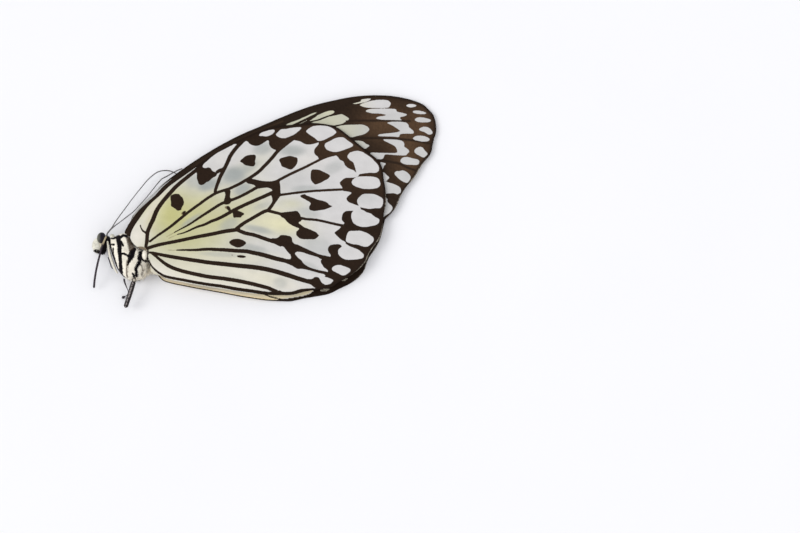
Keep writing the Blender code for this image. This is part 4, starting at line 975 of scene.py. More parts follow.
def hairs(name, roots, ways, lengths, width):
    """Fine tapering hairs in millimetres, each bent a little at its middle."""
    ways = ways / np.linalg.norm(ways, axis=1)[:, None]
    side = np.cross(ways, (0.31, 0.21, 0.93))
    side /= np.linalg.norm(side, axis=1)[:, None]
    up = np.cross(ways, side)
    droop = np.array((0.0, 0.0, -0.12))
    half_way = roots + ways * lengths[:, None] * 0.55
    tip = roots + ways * lengths[:, None] + droop * lengths[:, None]
    verts = []
    for centre, size in ((roots, width), (half_way, width * 0.75)):
        for turn in (0.0, 2.0 * math.pi / 3.0, 4.0 * math.pi / 3.0):
            verts.append(centre + (side * math.cos(turn) + up * math.sin(turn)) * size)
    verts.append(tip)
    verts = np.stack(verts, axis=1).reshape(-1, 3)
    pattern = [(2, 1, 0), (0, 1, 4, 3), (1, 2, 5, 4), (2, 0, 3, 5), (3, 4, 6), (4, 5, 6), (5, 3, 6)]
    faces = []
    for index in range(len(roots)):
        faces += [tuple(7 * index + corner for corner in face) for face in pattern]
    mesh = new_mesh(name, placed(verts[:, 0], verts[:, 1], np.maximum(verts[:, 2], 0.02)), faces)
    return new_object(name, mesh)


# materials
def linear(red, green, blue):
    """A screen colour from 0 to 255 as linear light."""
    def channel(value):
        share = value / 255.0
        return share / 12.92 if share <= 0.04045 else ((share + 0.055) / 1.055) ** 2.4
    return channel(red), channel(green), channel(blue), 1.0


class Look:
    """A material and short ways to add nodes to it."""

    def __init__(self, name):
        self.material = bpy.data.materials.new(name)
        self.material.use_nodes = True
        self.nodes = self.material.node_tree.nodes
        self.links = self.material.node_tree.links
        self.shader = self.nodes["Principled BSDF"]
        coordinates = self.nodes.new("ShaderNodeTexCoord")
        self.where = coordinates.outputs["Object"]

    def put(self, value, socket):
        if isinstance(value, bpy.types.NodeSocket):
            self.links.new(value, socket)
        elif value is not None:
            socket.default_value = value

    def attribute(self, name):
        node = self.nodes.new("ShaderNodeAttribute")
        node.attribute_name = name
        return node.outputs["Fac"]

    def maths(self, kind, first, second=None, clamp=False):
        node = self.nodes.new("ShaderNodeMath")
        node.operation = kind
        node.use_clamp = clamp
        self.put(first, node.inputs[0])
        self.put(second, node.inputs[1])
        return node.outputs[0]

    def noise(self, size_mm, detail=2.0, where=None, rough=0.5):
        node = self.nodes.new("ShaderNodeTexNoise")
        node.inputs["Scale"].default_value = 1.0 / (size_mm * MM)
        node.inputs["Detail"].default_value = detail
        node.inputs["Roughness"].default_value = rough
        self.links.new(where or self.where, node.inputs["Vector"])
        return node.outputs["Fac"]

    def stretched(self, scale):
        node = self.nodes.new("ShaderNodeMapping")
        node.inputs["Scale"].default_value = scale
        self.links.new(self.where, node.inputs["Vector"])
        return node.outputs["Vector"]

    def cells(self, size_mm):
        node = self.nodes.new("ShaderNodeTexVoronoi")
        node.inputs["Scale"].default_value = 1.0 / (size_mm * MM)
        self.links.new(self.where, node.inputs["Vector"])
        return node.outputs["Distance"]

    def span(self, value, low, high, new_low=0.0, new_high=1.0, smooth_step=False):
        node = self.nodes.new("ShaderNodeMapRange")
        if smooth_step:
            node.interpolation_type = "SMOOTHSTEP"
        self.put(value, node.inputs["Value"])
        for key, number in (("From Min", low), ("From Max", high), ("To Min", new_low), ("To Max", new_high)):
            node.inputs[key].default_value = number
        return node.outputs["Result"]

    def mix(self, share, first, second, kind="MIX"):
        node = self.nodes.new("ShaderNodeMix")
        node.data_type = "RGBA"
        node.blend_type = kind
        self.put(share, node.inputs["Factor"])
        colours = [socket for socket in node.inputs if socket.type == "RGBA"]
        self.put(first, colours[0])
        self.put(second, colours[1])
        return next(socket for socket in node.outputs if socket.type == "RGBA")

    def shade(self, colour, low, high, amount):
        """Colour made darker and lighter by a value from 0 to 1."""
        grey = self.nodes.new("ShaderNodeCombineColor")
        level = self.span(amount, 0.0, 1.0, low, high)
        for socket in grey.inputs:
            self.links.new(level, socket)
        return self.mix(1.0, colour, grey.outputs["Color"], "MULTIPLY")

    def bump(self, value, depth_mm, strength=0.6):
        node = self.nodes.new("ShaderNodeBump")
        node.inputs["Strength"].default_value = strength
        node.inputs["Distance"].default_value = depth_mm * MM
        self.links.new(value, node.inputs["Height"])
        self.links.new(node.outputs["Normal"], self.shader.inputs["Normal"])

    def finish(self, colour, rough, shine=0.5):
        self.put(colour, self.shader.inputs["Base Color"])
        self.put(rough, self.shader.inputs["Roughness"])
        self.shader.inputs["Specular IOR Level"].default_value = shine
        return self.material


PALE = linear(206, 204, 204)
YELLOW = linear(192, 189, 131)
CREAM = linear(222, 217, 182)
WHITE = linear(222, 217, 206)
# bluish grey: the forewing's grey, and on the hindwings painted shade where marks beneath show through
COOL = linear(161, 165, 163)
# tan: painted fold shade on the left hindwing
TAN = linear(190, 172, 132)
# the right hindwing's cream and tan, lighter than its own: painted light against the shade under the left hindwing
STRIP_CREAM_PAINTED_LIGHT = linear(255, 240, 204)
STRIP_TAN_PAINTED_LIGHT = linear(222, 194, 140)
DARK = linear(31, 20, 13)
FORE_DARK = linear(38, 27, 19)
FORE_MID = linear(83, 62, 44)
FRINGE = linear(196, 186, 168)
SHINE = 0.12
WING_SHINE = 0.08


def wing_look(name, dark, mid, fringe_share, cream=CREAM, tan=TAN):
    """Pale scaled membrane with dark markings, slightly ragged where they meet."""
    look = Look(name)
    ragged = look.span(look.noise(0.24, 3.0), 0.0, 1.0, -0.09, 0.09)
    ink = look.span(look.maths("ADD", look.attribute("ink"), ragged), -0.05, 0.05, 1.0, 0.0, True)
    faint = look.span(look.maths("ADD", look.attribute("faint"), ragged), -0.12, 0.12, 0.85, 0.0, True)
    cloud = look.noise(2.6, 3.0)
    ground = look.mix(look.attribute("yellow"), PALE, YELLOW)
    ground = look.mix(look.attribute("cream"), ground, cream)
    ground = look.mix(look.attribute("white"), ground, WHITE)
    # the bluish grey includes painted shade of marks seen through the membrane
    ground = look.mix(look.attribute("cool"), ground, COOL)
    # tan: painted fold shade on the left hindwing; on the right one the strip's tan and the dull spots' painted
    # shade
    ground = look.mix(look.attribute("tan"), ground, tan)
    ground = look.shade(ground, 0.9, 1.09, cloud)
    scales = look.noise(0.11, 2.0, look.stretched((1.0, 0.45, 1.0)))
    ground = look.shade(ground, 0.93, 1.06, scales)
    # weak brown spots; the one along the base edge is painted shadow
    ground = look.mix(faint, ground, linear(92, 70, 44))
    black = look.mix(look.attribute("brown"), dark, mid)
    black = look.shade(black, 0.6, 1.45, look.noise(0.5, 4.0))
    colour = look.mix(ink, ground, black)
    worn = look.span(look.noise(0.35, 2.0), 0.35, 0.6, 0.0, fringe_share)
    fringe = look.maths("MULTIPLY", look.span(look.attribute("fringe"), 0.1, 0.7), worn)
    colour = look.mix(fringe, colour, FRINGE)
    rough = look.span(scales, 0.2, 0.8, 0.5, 0.78)
    look.bump(look.maths("ADD", scales, look.maths("MULTIPLY", look.noise(0.7, 2.0), 1.5)), 0.04, 0.5)
    return look.finish(colour, rough, WING_SHINE)


def fur_look(name, pale, dark, brown):
    """Scaled skin with pale ground, black and brown bands."""
    look = Look(name)
    ragged = look.span(look.noise(0.3, 3.0), 0.0, 1.0, -0.14, 0.14)
    black = look.span(look.maths("ADD", look.attribute("black"), ragged), -0.06, 0.06, 1.0, 0.0, True)
    tan = look.span(look.maths("ADD", look.attribute("brown"), ragged), -0.14, 0.14, 0.85, 0.0, True)
    streaks = look.noise(0.16, 3.0, look.stretched((1.0, 0.3, 1.0)))
    ground = look.shade(pale, 0.72, 1.12, look.noise(0.9, 4.0))
    ground = look.shade(ground, 0.8, 1.1, streaks)
    colour = look.mix(tan, ground, brown)
    colour = look.mix(black, colour, look.shade(dark, 0.5, 1.8, streaks))
    look.bump(look.maths("ADD", streaks, look.noise(0.5, 3.0)), 0.12, 0.8)
    return look.finish(colour, look.span(streaks, 0.2, 0.8, 0.55, 0.9), SHINE)


def hair_look(name, colour, rough=0.6):
    look = Look(name)
    tone = look.shade(colour, 0.65, 1.3, look.noise(0.4, 2.0))
    look.bump(look.noise(0.06, 2.0), 0.01)
    return look.finish(tone, look.span(look.noise(0.3, 1.0), 0.0, 1.0, rough - 0.1, rough + 0.15), SHINE)


def leg_look(name, dark, pale, low, high, start=None):
    """A dark leg, pale along its upper side as painted highlight and darker below as painted shade, with another
    colour where it starts.
    """
    look = Look(name)
    ragged = look.span(look.noise(0.3, 3.0), 0.0, 1.0, -0.25, 0.25)
    # painted highlight along the top of the bar
    top_highlight = look.span(look.maths("ADD", look.attribute("around"), ragged), low, high, 0.0, 1.0, True)
    colour = look.mix(top_highlight, dark, pale)
    if start:
        colour = look.mix(look.span(look.attribute("along"), 0.13, 0.2, 1.0, 0.0, True), colour, start)
    colour = look.shade(colour, 0.6, 1.3, look.noise(0.18, 3.0))
    look.bump(look.noise(0.12, 3.0), 0.04, 0.7)
    return look.finish(colour, look.span(look.noise(0.3, 2.0), 0.0, 1.0, 0.4, 0.75), 0.25)


def eye_look(name):
    """A dark facetted eye, grey on its front side, which faces the window light: painted sheen."""
    look = Look(name)
    # grey on the side towards the light: painted sheen
    bands = look.maths("ADD", look.attribute("across"), look.span(look.noise(0.5, 3.0), 0.0, 1.0, -0.35, 0.35))
    colour = look.mix(look.span(bands, -0.9, 0.0, 1.0, 0.0), linear(26, 20, 32), linear(112, 113, 100))
    colour = look.shade(colour, 0.7, 1.25, look.noise(0.12, 2.0))
    look.bump(look.cells(0.07), 0.02, 0.6)
    return look.finish(colour, look.span(look.cells(0.07), 0.0, 0.8, 0.25, 0.5), 0.15)


def floor_look():
    look = Look("white_surface")
    tone = look.shade((0.885, 0.885, 0.915, 1.0), 0.985, 1.01, look.noise(40.0, 2.0))
    look.bump(look.noise(0.8, 3.0), 0.01, 0.3)
    return look.finish(tone, look.span(look.noise(6.0, 2.0), 0.0, 1.0, 0.55, 0.7))


# wings
def outline_in_plan(outline, height):
    points = np.asarray(outline, float)
    x, y = seen(points[:, 0], points[:, 1], height(points[:, 0], points[:, 1]))
    return np.stack([x, y], axis=-1)


def lines_in_plan(veins, height):
    lines = []
    for line, _ in veins:
        lines.append(outline_in_plan(smooth(line, closed=False), height))
    return lines


def left_hindwing():
    look = wing_look("left_hindwing_scales", DARK, FORE_MID, 0.75)
    wing_piece(
        "left_hindwing_sheet", "left_hindwing", outline_in_plan(LEFT_HIND_OUTLINE, left_hind_height),
        LEFT_SPACING, left_hind_height, lambda x, y: as_read(x, y, left_hind_height(x, y)),
        hind_pattern, lines_in_plan(HIND_VEINS, left_hind_height), look)


def left_forewing():
    look = wing_look("left_forewing_scales", FORE_DARK, FORE_MID, 0.9)
    wing_piece(
        "left_forewing_sheet", "left_forewing", outline_in_plan(LEFT_FORE_OUTLINE, left_fore_height),
        LEFT_SPACING, left_fore_height, lambda x, y: as_read(x, y, left_fore_height(x, y)),
        fore_pattern, lines_in_plan(FORE_VEINS, left_fore_height), look)


def right_forewing():
    """The same wing, turned a little about the root."""
    def read(x, y):
        left_x, left_y = turned_back(x, y, RIGHT_FORE_TURN, RIGHT_FORE_SHIFT)
        return as_read(left_x, left_y, left_fore_height(left_x, left_y))

    left = outline_in_plan(LEFT_FORE_OUTLINE, left_fore_height)[len(RIGHT_FORE_BASE):]
    x, y = turned(left[:, 0], left[:, 1], RIGHT_FORE_TURN, RIGHT_FORE_SHIFT)
    outline = np.vstack([RIGHT_FORE_BASE, np.stack([x, y], axis=-1)])
    lines = []
    for line in lines_in_plan(FORE_VEINS, left_fore_height):
        lines.append(np.stack(turned(line[:, 0], line[:, 1], RIGHT_FORE_TURN, RIGHT_FORE_SHIFT), axis=-1))
    look = wing_look("right_forewing_scales", FORE_DARK, FORE_MID, 0.6)
    wing_piece(
        "right_forewing_sheet", "right_forewing", outline, RIGHT_SPACING, right_fore_height,
        read, fore_pattern, lines, look)


def right_hindwing():
    """As the left hindwing, with a tan strip and a dark corner along the edge that shows."""
    def read(x, y):
        left_x, left_y = turned_back(x, y, RIGHT_HIND_TURN)
        return as_read(left_x, left_y, left_hind_height(left_x, left_y))

    def pattern(u, v):
        fields = hind_pattern(u, v)
        left_x, left_y = seen(u, v, left_hind_height(u, v))
        x, y = turned(left_x, left_y, RIGHT_HIND_TURN)
        own_u, own_v = as_read(x, y, right_hind_height(x, y))
        to_edge = -area_distance(x, y, smooth(outline))
        corner = area_distance(own_u, own_v, smooth(DARK_CORNER))
        shaded_spots = least([area_distance(own_u, own_v, smooth(spot)) for spot in SHADED_PALE_SPOTS])
        strip = area_distance(own_u, own_v, np.array(STRIP))
        strokes = np.minimum(to_edge - STRIP_EDGE, line_distance(own_u, own_v, smooth(STRIP_LINE, False), (0.15,)))
        # painted shade: the pale spots are dulled with ink, grey and tan
        ink = np.where(shaded_spots < 0.0, 0.01, np.minimum(fields["ink"], corner))
        fields["ink"] = np.where(strip < 0.0, strokes, ink)
        fields["faint"] = np.where(strip < 0.0, 1e3, fields["faint"])
        on_strip = np.clip(-strip / 0.2, 0.0, 1.0)
        fields["cream"] = np.maximum(fields["cream"], on_strip)
        under = np.clip((0.6 - to_edge) / 0.4, 0.0, 1.0) * 0.5 + 0.1
        fields["cool"] = np.where(shaded_spots < 0.0, 1.0, fields["cool"] * (1.0 - on_strip))
        fields["tan"] = np.where(shaded_spots < 0.0, 0.3, on_strip * under)
        return fields

    base = len(RIGHT_HIND_BASE)
    end = len(RIGHT_HIND_END)
    left = outline_in_plan(LEFT_HIND_OUTLINE, left_hind_height)[base + 1:-end + 1]
    x, y = turned(left[:, 0], left[:, 1], RIGHT_HIND_TURN)
    x = x - CORNER_TRIM * falloff(x, y, CORNER_TRIM_PLACE, CORNER_TRIM_RADIUS)
    y = y + LOW_TRIM * falloff(x, y, LOW_TRIM_PLACE, LOW_TRIM_RADIUS)
    outline = np.vstack([RIGHT_HIND_BASE, np.stack([x, y], axis=-1), RIGHT_HIND_END])
    lines = []
    for line in lines_in_plan(HIND_VEINS, left_hind_height):
        lines.append(np.stack(turned(line[:, 0], line[:, 1], RIGHT_HIND_TURN), axis=-1))
    # lighter cream and tan: painted light on the strip under the left hindwing
    look = wing_look("right_hindwing_scales", DARK, FORE_MID, 0.4, STRIP_CREAM_PAINTED_LIGHT, STRIP_TAN_PAINTED_LIGHT)
    wing_piece(
        "right_hindwing_sheet", "right_hindwing", outline, RIGHT_SPACING, right_hind_height,
        read, pattern, lines, look)


# body
def body_marks(u, v):
    black = least([line_distance(u, v, smooth(line, closed=False), halves) for line, halves in BODY_BLACK])
    black = black - BODY_EXTRA
    brown = least([line_distance(u, v, smooth(line, closed=False), halves) for line, halves in BODY_BROWN])
    return black, brown


def thorax_outline():
    read = smooth(THORAX_OUTLINE, steps=13)
    x, y = seen(read[:, 0], read[:, 1], THORAX_MIDDLE)
    return np.stack([x, y], axis=-1)


def thorax_body():
    """A pillow over its outline with grooves along the dark bands."""
    outline = thorax_outline()
    count = len(outline)
    centre = seen(*THORAX_CENTRE, THORAX_MIDDLE)
    levels = np.linspace(0.0, np.pi, THORAX_LEVELS + 1)[1:-1]
    reach = np.sin(levels)[:, None]
    x = np.concatenate([(centre[0] + (outline[None, :, 0] - centre[0]) * reach).ravel(), [centre[0]] * 2])
    y = np.concatenate([(centre[1] + (outline[None, :, 1] - centre[1]) * reach).ravel(), [centre[1]] * 2])
    lift = np.concatenate([np.repeat(np.cos(levels), count), [1.0, -1.0]])
    full = THORAX_HALF * np.abs(lift) ** THORAX_FULLNESS
    height = THORAX_MIDDLE + np.sign(lift) * full
    mirrored = THORAX_MIDDLE + full
    u, v = as_read(x, y, mirrored)
    black, brown = body_marks(u, v)
    groove = THORAX_GROOVE * np.clip(0.5 - black / 0.3, 0.0, 1.0)
    ribs = THORAX_RIB * np.sin(6.0 * u + 1.5 * np.sin(v)) * np.clip(black, 0.0, 0.4)
    z = height - np.sign(lift) * (groove - ribs) * np.abs(lift)
    verts = placed(x, y, np.maximum(z, 0.0))
    faces = []
    rows = len(levels)
    for row in range(rows - 1):
        for index in range(count):
            a = row * count + index
            b = row * count + (index + 1) % count
            faces.append((a, b, b + count, a + count))
    top, bottom = rows * count, rows * count + 1
    for index in range(count):
        after = (index + 1) % count
        faces.append((top, after, index))
        faces.append((bottom, (rows - 1) * count + index, (rows - 1) * count + after))
    mesh = new_mesh("thorax_body", verts, faces, {"black": black, "brown": brown})
    look = fur_look("thorax_scales", linear(250, 243, 228), linear(16, 10, 16), linear(70, 50, 32))
    finish_piece(new_object("thorax_body", mesh), "thorax", look)

    def oval_marks(u, v):
        reach = np.hypot((u - WING_OVAL[0]) / WING_OVAL_RADII[0], (v - WING_OVAL[1]) / WING_OVAL_RADII[1])
        return {"black": (0.88 - reach) * 0.5, "brown": np.full(u.shape, 1.0)}

    oval_x, oval_y = seen(*WING_OVAL, WING_OVAL_HEIGHT)
    oval = egg("wing_base_oval", (oval_x, oval_y, WING_OVAL_HEIGHT), WING_OVAL_RADII, marks=oval_marks)
    finish_piece(oval, "thorax", look)


def thorax_top(x, y):
    """Height of the thorax's upper side at a place in plan."""
    outline = thorax_outline()
    centre = seen(*THORAX_CENTRE, THORAX_MIDDLE)
    angles = np.arctan2(outline[:, 1] - centre[1], outline[:, 0] - centre[0])
    reaches = np.hypot(outline[:, 0] - centre[0], outline[:, 1] - centre[1])
    order = np.argsort(angles)
    angle = np.arctan2(y - centre[1], x - centre[0])
    limit = np.interp(angle, angles[order], reaches[order], period=2.0 * np.pi)
    share = np.clip(np.hypot(x - centre[0], y - centre[1]) / limit, 0.0, 1.0)
    return THORAX_MIDDLE + THORAX_HALF * (1.0 - share ** 2) ** (THORAX_FULLNESS / 2.0), share


def thorax_fur(random):
    """Short hairs combed backwards over both sides, dark ones on the dark bands."""
    number = 7000
    u = random.uniform(-33.4, -24.3, number)
    v = random.uniform(-19.6, -9.4, number)
    x, y = seen(u, v, THORAX_MIDDLE + THORAX_HALF * 0.7)
    z, share = thorax_top(x, y)
    keep = share < 0.985
    x, y, z, share = x[keep], y[keep], z[keep], share[keep]
    upper = random.uniform(0.0, 1.0, len(x)) < 0.75
    mark_u, mark_v = as_read(x, y, z)
    black, brown = body_marks(mark_u, mark_v)
    z = np.where(upper, z, 2.0 * THORAX_MIDDLE - z)
    sign = np.where(upper, 1.0, -1.0)
    keep = z > 0.1
    roots = np.stack([x, y, z - sign * 0.08], axis=-1)
    ways = np.stack([
        0.75 + random.normal(0.0, 0.3, len(x)),
        -0.65 + random.normal(0.0, 0.3, len(x)),
        sign * (0.22 + 0.2 * random.uniform(0.0, 1.0, len(x))) - share * sign * 0.3], axis=-1)
    lengths = random.uniform(0.25, 0.6, len(x))
    pale = keep & (black > 0.1) & (brown > 0.0)
    dark = keep & (black < 0.0)
    tan = keep & (brown < 0.15) & (black > 0.0)
    looks = (
        ("thorax_pale_hair", pale, hair_look("pale_hair", linear(250, 244, 230))),
        ("thorax_dark_hair", dark, hair_look("dark_hair", linear(18, 12, 18), 0.5)),
        ("thorax_brown_hair", tan, hair_look("brown_hair", linear(80, 60, 38))),
    )
    for name, chosen, look in looks:
        made = hairs(name, roots[chosen], ways[chosen], lengths[chosen], HAIR_WIDTH)
        finish_piece(made, "thorax", look)


def thorax_fringe(random):
    """Longer pale hairs along the rear lower edge."""
    number = 420
    share = random.uniform(0.0, 1.0, number)
    line = smooth([(-27.6, -19.0), (-26.4, -18.9), (-25.4, -18.4), (-24.6, -17.8), (-23.4, -17.7), (-22.2, -17.9)],
                  closed=False)
    places = np.linspace(0.0, 1.0, len(line))
    u = np.interp(share, places, line[:, 0]) + random.normal(0.0, 0.15, number)
    v = np.interp(share, places, line[:, 1]) + random.uniform(-0.1, 0.9, number)
    z = random.uniform(1.4, 3.4, number)
    x, y = seen(u, v, z)
    ways = np.stack([
        0.45 + random.normal(0.0, 0.35, number), -1.0 + random.normal(0.0, 0.2, number),
        random.normal(-0.1, 0.2, number)], axis=-1)
    lengths = random.uniform(0.5, 1.15, number)
    dark = (random.uniform(0.0, 1.0, number) < 0.1) & (v < -18.0)
    roots = np.stack([x, y, z], axis=-1)
    made = hairs("thorax_fringe", roots[~dark], ways[~dark], lengths[~dark], 0.03)
    finish_piece(made, "thorax", hair_look("fringe_hair", linear(240, 230, 210)))
    made = hairs("thorax_dark_ticks", roots[dark], ways[dark], lengths[dark] * 0.7, 0.045)
    finish_piece(made, "thorax", hair_look("tick_hair", linear(70, 56, 50)))


def abdomen_body():
    """A tapering body of rings, squeezed where its segments meet."""
    rings = 90
    sides = 40
    share = np.linspace(0.0, 1.0, rings)
    x, y = abdomen_axis(share)
    width = np.interp(share, ABDOMEN_SHARES, ABDOMEN_WIDTHS)
    height = np.interp(share, ABDOMEN_SHARES, ABDOMEN_HEIGHTS)
    waist = 1.0 - 0.07 * np.exp(-(np.sin(np.pi * share * ABDOMEN_SEGMENTS) / 0.25) ** 2)
    angles = np.linspace(0.0, 2.0 * np.pi, sides, endpoint=False)
    all_y = y[:, None] + np.cos(angles)[None, :] * (width * waist)[:, None]
    all_x = np.repeat(x[:, None], sides, axis=1)
    all_z = middle(x, y)[:, None] + np.sin(angles)[None, :] * (height * waist)[:, None]
    verts = placed(all_x.ravel(), all_y.ravel(), all_z.ravel())
    faces = []
    for ring in range(rings - 1):
        for index in range(sides):
            a = ring * sides + index
            b = ring * sides + (index + 1) % sides
            faces.append((a, b, b + sides, a + sides))
    faces.append(tuple(range(sides))[::-1])
    faces.append(tuple(range((rings - 1) * sides, rings * sides)))
    banded = np.repeat(0.3 - 0.5 * np.exp(-(np.sin(np.pi * share * ABDOMEN_SEGMENTS) / 0.2) ** 2), sides)
    mesh = new_mesh("abdomen_body", verts, faces, {"black": banded + 1.0, "brown": banded})
    look = fur_look("abdomen_scales", linear(226, 220, 200), linear(40, 32, 30), linear(150, 136, 104))
    finish_piece(new_object("abdomen_body", mesh), "abdomen", look)


def head_parts(random):
    """Head, eyes, palps and the folded forelegs, with their hairs."""
    x, y = seen(*HEAD_CENTRE, HEAD_MIDDLE)
    dark_hair = hair_look("head_dark_hair", linear(20, 14, 18), 0.5)
    white_hair = hair_look("head_white_hair", linear(238, 235, 222))
    skin = fur_look("head_skin", linear(222, 212, 188), linear(18, 12, 18), linear(92, 70, 46))

    def head_marks(u, v):
        black = area_distance(u, v, smooth(HEAD_BLACK))
        line, halves = HEAD_BROWN
        return {"black": black, "brown": line_distance(u, v, smooth(line, closed=False), halves)}

    head = egg("head_body", (x, y, HEAD_MIDDLE), HEAD_RADII, lump=0.03, marks=head_marks)
    finish_piece(head, "head", skin)
    neck_x, neck_y = seen(*NECK, HEAD_MIDDLE)
    finish_piece(egg("neck_body", (neck_x, neck_y, HEAD_MIDDLE), NECK_RADII, lump=0.04), "head", dark_hair)
    eye_x, eye_y = seen(*EYE_CENTRE, HEAD_MIDDLE + EYE_OFFSET)
    palp_x, palp_y = seen(*PALP_CENTRE, HEAD_MIDDLE)
    for side, sign in (("left", 1.0), ("right", -1.0)):
        level = HEAD_MIDDLE + sign * EYE_OFFSET
        eye = egg(side + "_eye_ball", (eye_x, eye_y, level), EYE_RADII)
        finish_piece(eye, side + "_eye", eye_look(side + "_eye_facets"))
        level = HEAD_MIDDLE + sign * PALP_OFFSET
        palp = egg(side + "_palp_body", (palp_x, palp_y, level), PALP_RADII, PALP_LEAN, lump=0.04)
        finish_piece(palp, side + "_palp", white_hair)
        hair_on_egg(
            side + "_palp_hair", side + "_palp", (palp_x, palp_y, level), PALP_RADII, PALP_LEAN,
            (-0.2, -0.9, 0.1 * sign), 0.5, 700, (0.2, 0.45), white_hair, random)
        brush_x, brush_y = seen(*PALP_BRUSH, level)
        hair_on_egg(
            side + "_palp_brush", side + "_palp", (brush_x, brush_y, level), PALP_BRUSH_RADII, PALP_BRUSH_LEAN,
            (-0.25, -1.0, 0.0), 0.4, 260, (0.3, 0.6), dark_hair, random)
    fore_x, fore_y = seen(*FORELEG_CENTRE, FORELEG_HEIGHT)
    centre = (fore_x, fore_y, FORELEG_HEIGHT)
    finish_piece(egg("foreleg_body", centre, FORELEG_RADII, FORELEG_LEAN, lump=0.06), "forelegs", dark_hair)
    hair_on_egg(
        "foreleg_hair", "forelegs", centre, FORELEG_RADII, FORELEG_LEAN, (-0.2, -0.9, 0.0), 0.7, 380,
        (0.2, 0.4), dark_hair, random)
    head_centre = (x, y, HEAD_MIDDLE)
    nape_x, nape_y = seen(*NAPE, head_centre[2])
    hair_on_egg(
        "head_hair", "head", (nape_x, nape_y, head_centre[2]), NAPE_RADII, 0.0, (0.35, -0.6, 0.2), 0.9, 600,
        (0.25, 0.5), dark_hair, random)
    tuft_x, tuft_y = seen(*TUFT, HEAD_MIDDLE)
    tuft = (tuft_x, tuft_y, HEAD_MIDDLE + TUFT_RISE)
    finish_piece(egg("neck_tuft_body", tuft, TUFT_RADII, lump=0.06), "head", white_hair)
    hair_on_egg(
        "neck_tuft", "head", tuft, TUFT_RADII, 0.0, (0.6, 0.7, 0.3), 0.9,
        500, (0.15, 0.3), white_hair, random, 0.04)


def hair_on_egg(name, node, centre, radii, lean, way, spread_out, number, length, look, random, width=0.022):
    """Hairs that start on an egg-shaped body and are combed one way."""
    out = random.normal(0.0, 1.0, (number, 3))
    out /= np.linalg.norm(out, axis=1)[:, None]
    local = out * np.asarray(radii) * 0.97
    x = centre[0] + local[:, 0] * math.cos(lean) - local[:, 1] * math.sin(lean)
    y = centre[1] + local[:, 0] * math.sin(lean) + local[:, 1] * math.cos(lean)
    roots = np.stack([x, y, centre[2] + local[:, 2]], axis=-1)
    ways = out * spread_out * 0.5 + np.asarray(way) + random.normal(0.0, 0.15, (number, 3))
    lengths = random.uniform(length[0], length[1], number)
    finish_piece(hairs(name, roots, ways, lengths, width), node, look)


def tube_places(points):
    places = []
    for u, v, z in points:
        x, y = seen(u, v, z)
        places.append((x, y, z))
    return places


def antennae():
    look = leg_look("antenna_skin", linear(62, 58, 60), linear(104, 100, 100), 0.6, 1.0)
    for name, points in (("left_antenna", LEFT_ANTENNA), ("right_antenna", RIGHT_ANTENNA)):
        made = rod(
            name + "_rod", tube_places(points), (0.17, 0.11, 0.1, 0.1, 0.11, 0.13, 0.12), 10, 0.36, 0.14)
        finish_piece(made, name, look)


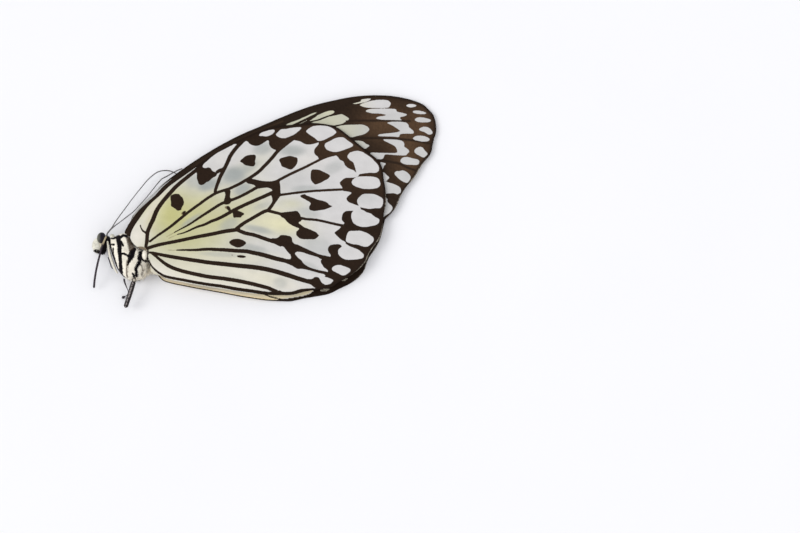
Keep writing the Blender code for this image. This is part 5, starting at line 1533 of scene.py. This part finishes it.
def legs():
    black = leg_look("leg_black", linear(30, 22, 34), linear(64, 54, 62), 0.75, 1.1)
    shin = leg_look("shin_skin", linear(30, 22, 34), linear(64, 54, 62), 0.75, 1.1, linear(172, 158, 130))
    # the hind femur's thin pale line on top is painted highlight
    thin_highlight = leg_look("leg_striped", linear(30, 24, 26), linear(146, 138, 136), 0.9, 1.04)
    cream = leg_look("leg_cream", linear(120, 112, 98), linear(228, 222, 206), -0.3, 0.3)
    parts = (
        ("left_mid_femur", LEFT_MID_FEMUR, (0.14, 0.25, 0.28, 0.28, 0.24, 0.18), cream),
        ("left_mid_tibia", LEFT_MID_TIBIA, (0.17, 0.2, 0.22, 0.22, 0.23), shin),
        ("right_mid_tibia", RIGHT_MID_TIBIA, (0.11, 0.12, 0.09), black),
        ("left_hind_femur", LEFT_HIND_FEMUR, (0.5, 0.53, 0.51, 0.49, 0.47), thin_highlight),
        ("right_hind_tibia", RIGHT_HIND_TIBIA,
         (0.22, 0.2, 0.17, 0.15, 0.12, 0.1, 0.07, 0.06, 0.06, 0.06, 0.07, 0.3, 0.34), black),
    )
    for name, points, radii, look in parts:
        finish_piece(rod(name + "_rod", tube_places(points), radii, 20), name, look)
    joint_x, joint_y = seen(*HIND_JOINT, HIND_JOINT_HEIGHT)
    centre = (joint_x, joint_y, HIND_JOINT_HEIGHT)

    def joint_marks(u, v):
        ring = np.abs(np.hypot(u - HIND_JOINT[0], v - HIND_JOINT[1]) - JOINT_RING) - JOINT_RING_HALF
        return {"black": ring, "brown": np.hypot(u - HIND_JOINT[0], v - HIND_JOINT[1] + 0.3) - 0.05}

    joint = egg("left_hind_joint", centre, HIND_JOINT_RADII, lump=0.08, marks=joint_marks)
    look = fur_look("joint_skin", linear(190, 182, 168), linear(22, 16, 20), linear(96, 80, 60))
    finish_piece(joint, "left_hind_femur", look)


# stage
def floor():
    size = 3.0
    verts = np.array([(-size, -size, 0.0), (size, -size, 0.0), (size, size, 0.0), (-size, size, 0.0)])
    mesh = new_mesh("white_floor", verts, [(0, 1, 2, 3)])
    made = new_object("white_floor", mesh)
    made.data.materials.append(floor_look())
    made.location.z = -0.00002


def lights():
    world = bpy.data.worlds.new("studio")
    bpy.context.scene.world = world
    world.use_nodes = True
    background = world.node_tree.nodes["Background"]
    background.inputs["Color"].default_value = (0.985, 0.99, 1.0, 1.0)
    background.inputs["Strength"].default_value = 0.72
    # a window on the left and a weaker broad light from the front
    for name, energy, angle, tilt_x, tilt_y in (
            ("window_light", 1.15, 35.0, 4.0, -50.0), ("front_light", 0.65, 90.0, 40.0, 0.0)):
        sun = bpy.data.lights.new(name, "SUN")
        sun.energy = energy
        sun.angle = math.radians(angle)
        sun.color = (1.0, 0.995, 0.985)
        made = bpy.data.objects.new(name, sun)
        made.rotation_euler = (math.radians(tilt_x), math.radians(tilt_y), 0.0)
        bpy.context.scene.collection.objects.link(made)


def camera():
    data = bpy.data.cameras.new("photo_camera")
    data.lens = LENS
    data.sensor_width = SENSOR
    data.clip_start = 0.01
    data.clip_end = 20.0
    made = bpy.data.objects.new("photo_camera", data)
    made.location = placed(*(np.array(value) for value in EYE_POINT)).tolist()
    made.rotation_euler = (math.radians(90.0 - CAMERA_ELEVATION), 0.0, 0.0)
    bpy.context.scene.collection.objects.link(made)
    bpy.context.scene.camera = made


def main():
    random = np.random.default_rng(SEED)
    left_hindwing()
    left_forewing()
    right_forewing()
    right_hindwing()
    thorax_body()
    thorax_fur(random)
    thorax_fringe(random)
    abdomen_body()
    head_parts(random)
    antennae()
    legs()
    floor()
    lights()
    camera()
    bpy.context.scene.view_settings.view_transform = "Standard"
    bpy.context.view_layer.update()


main()
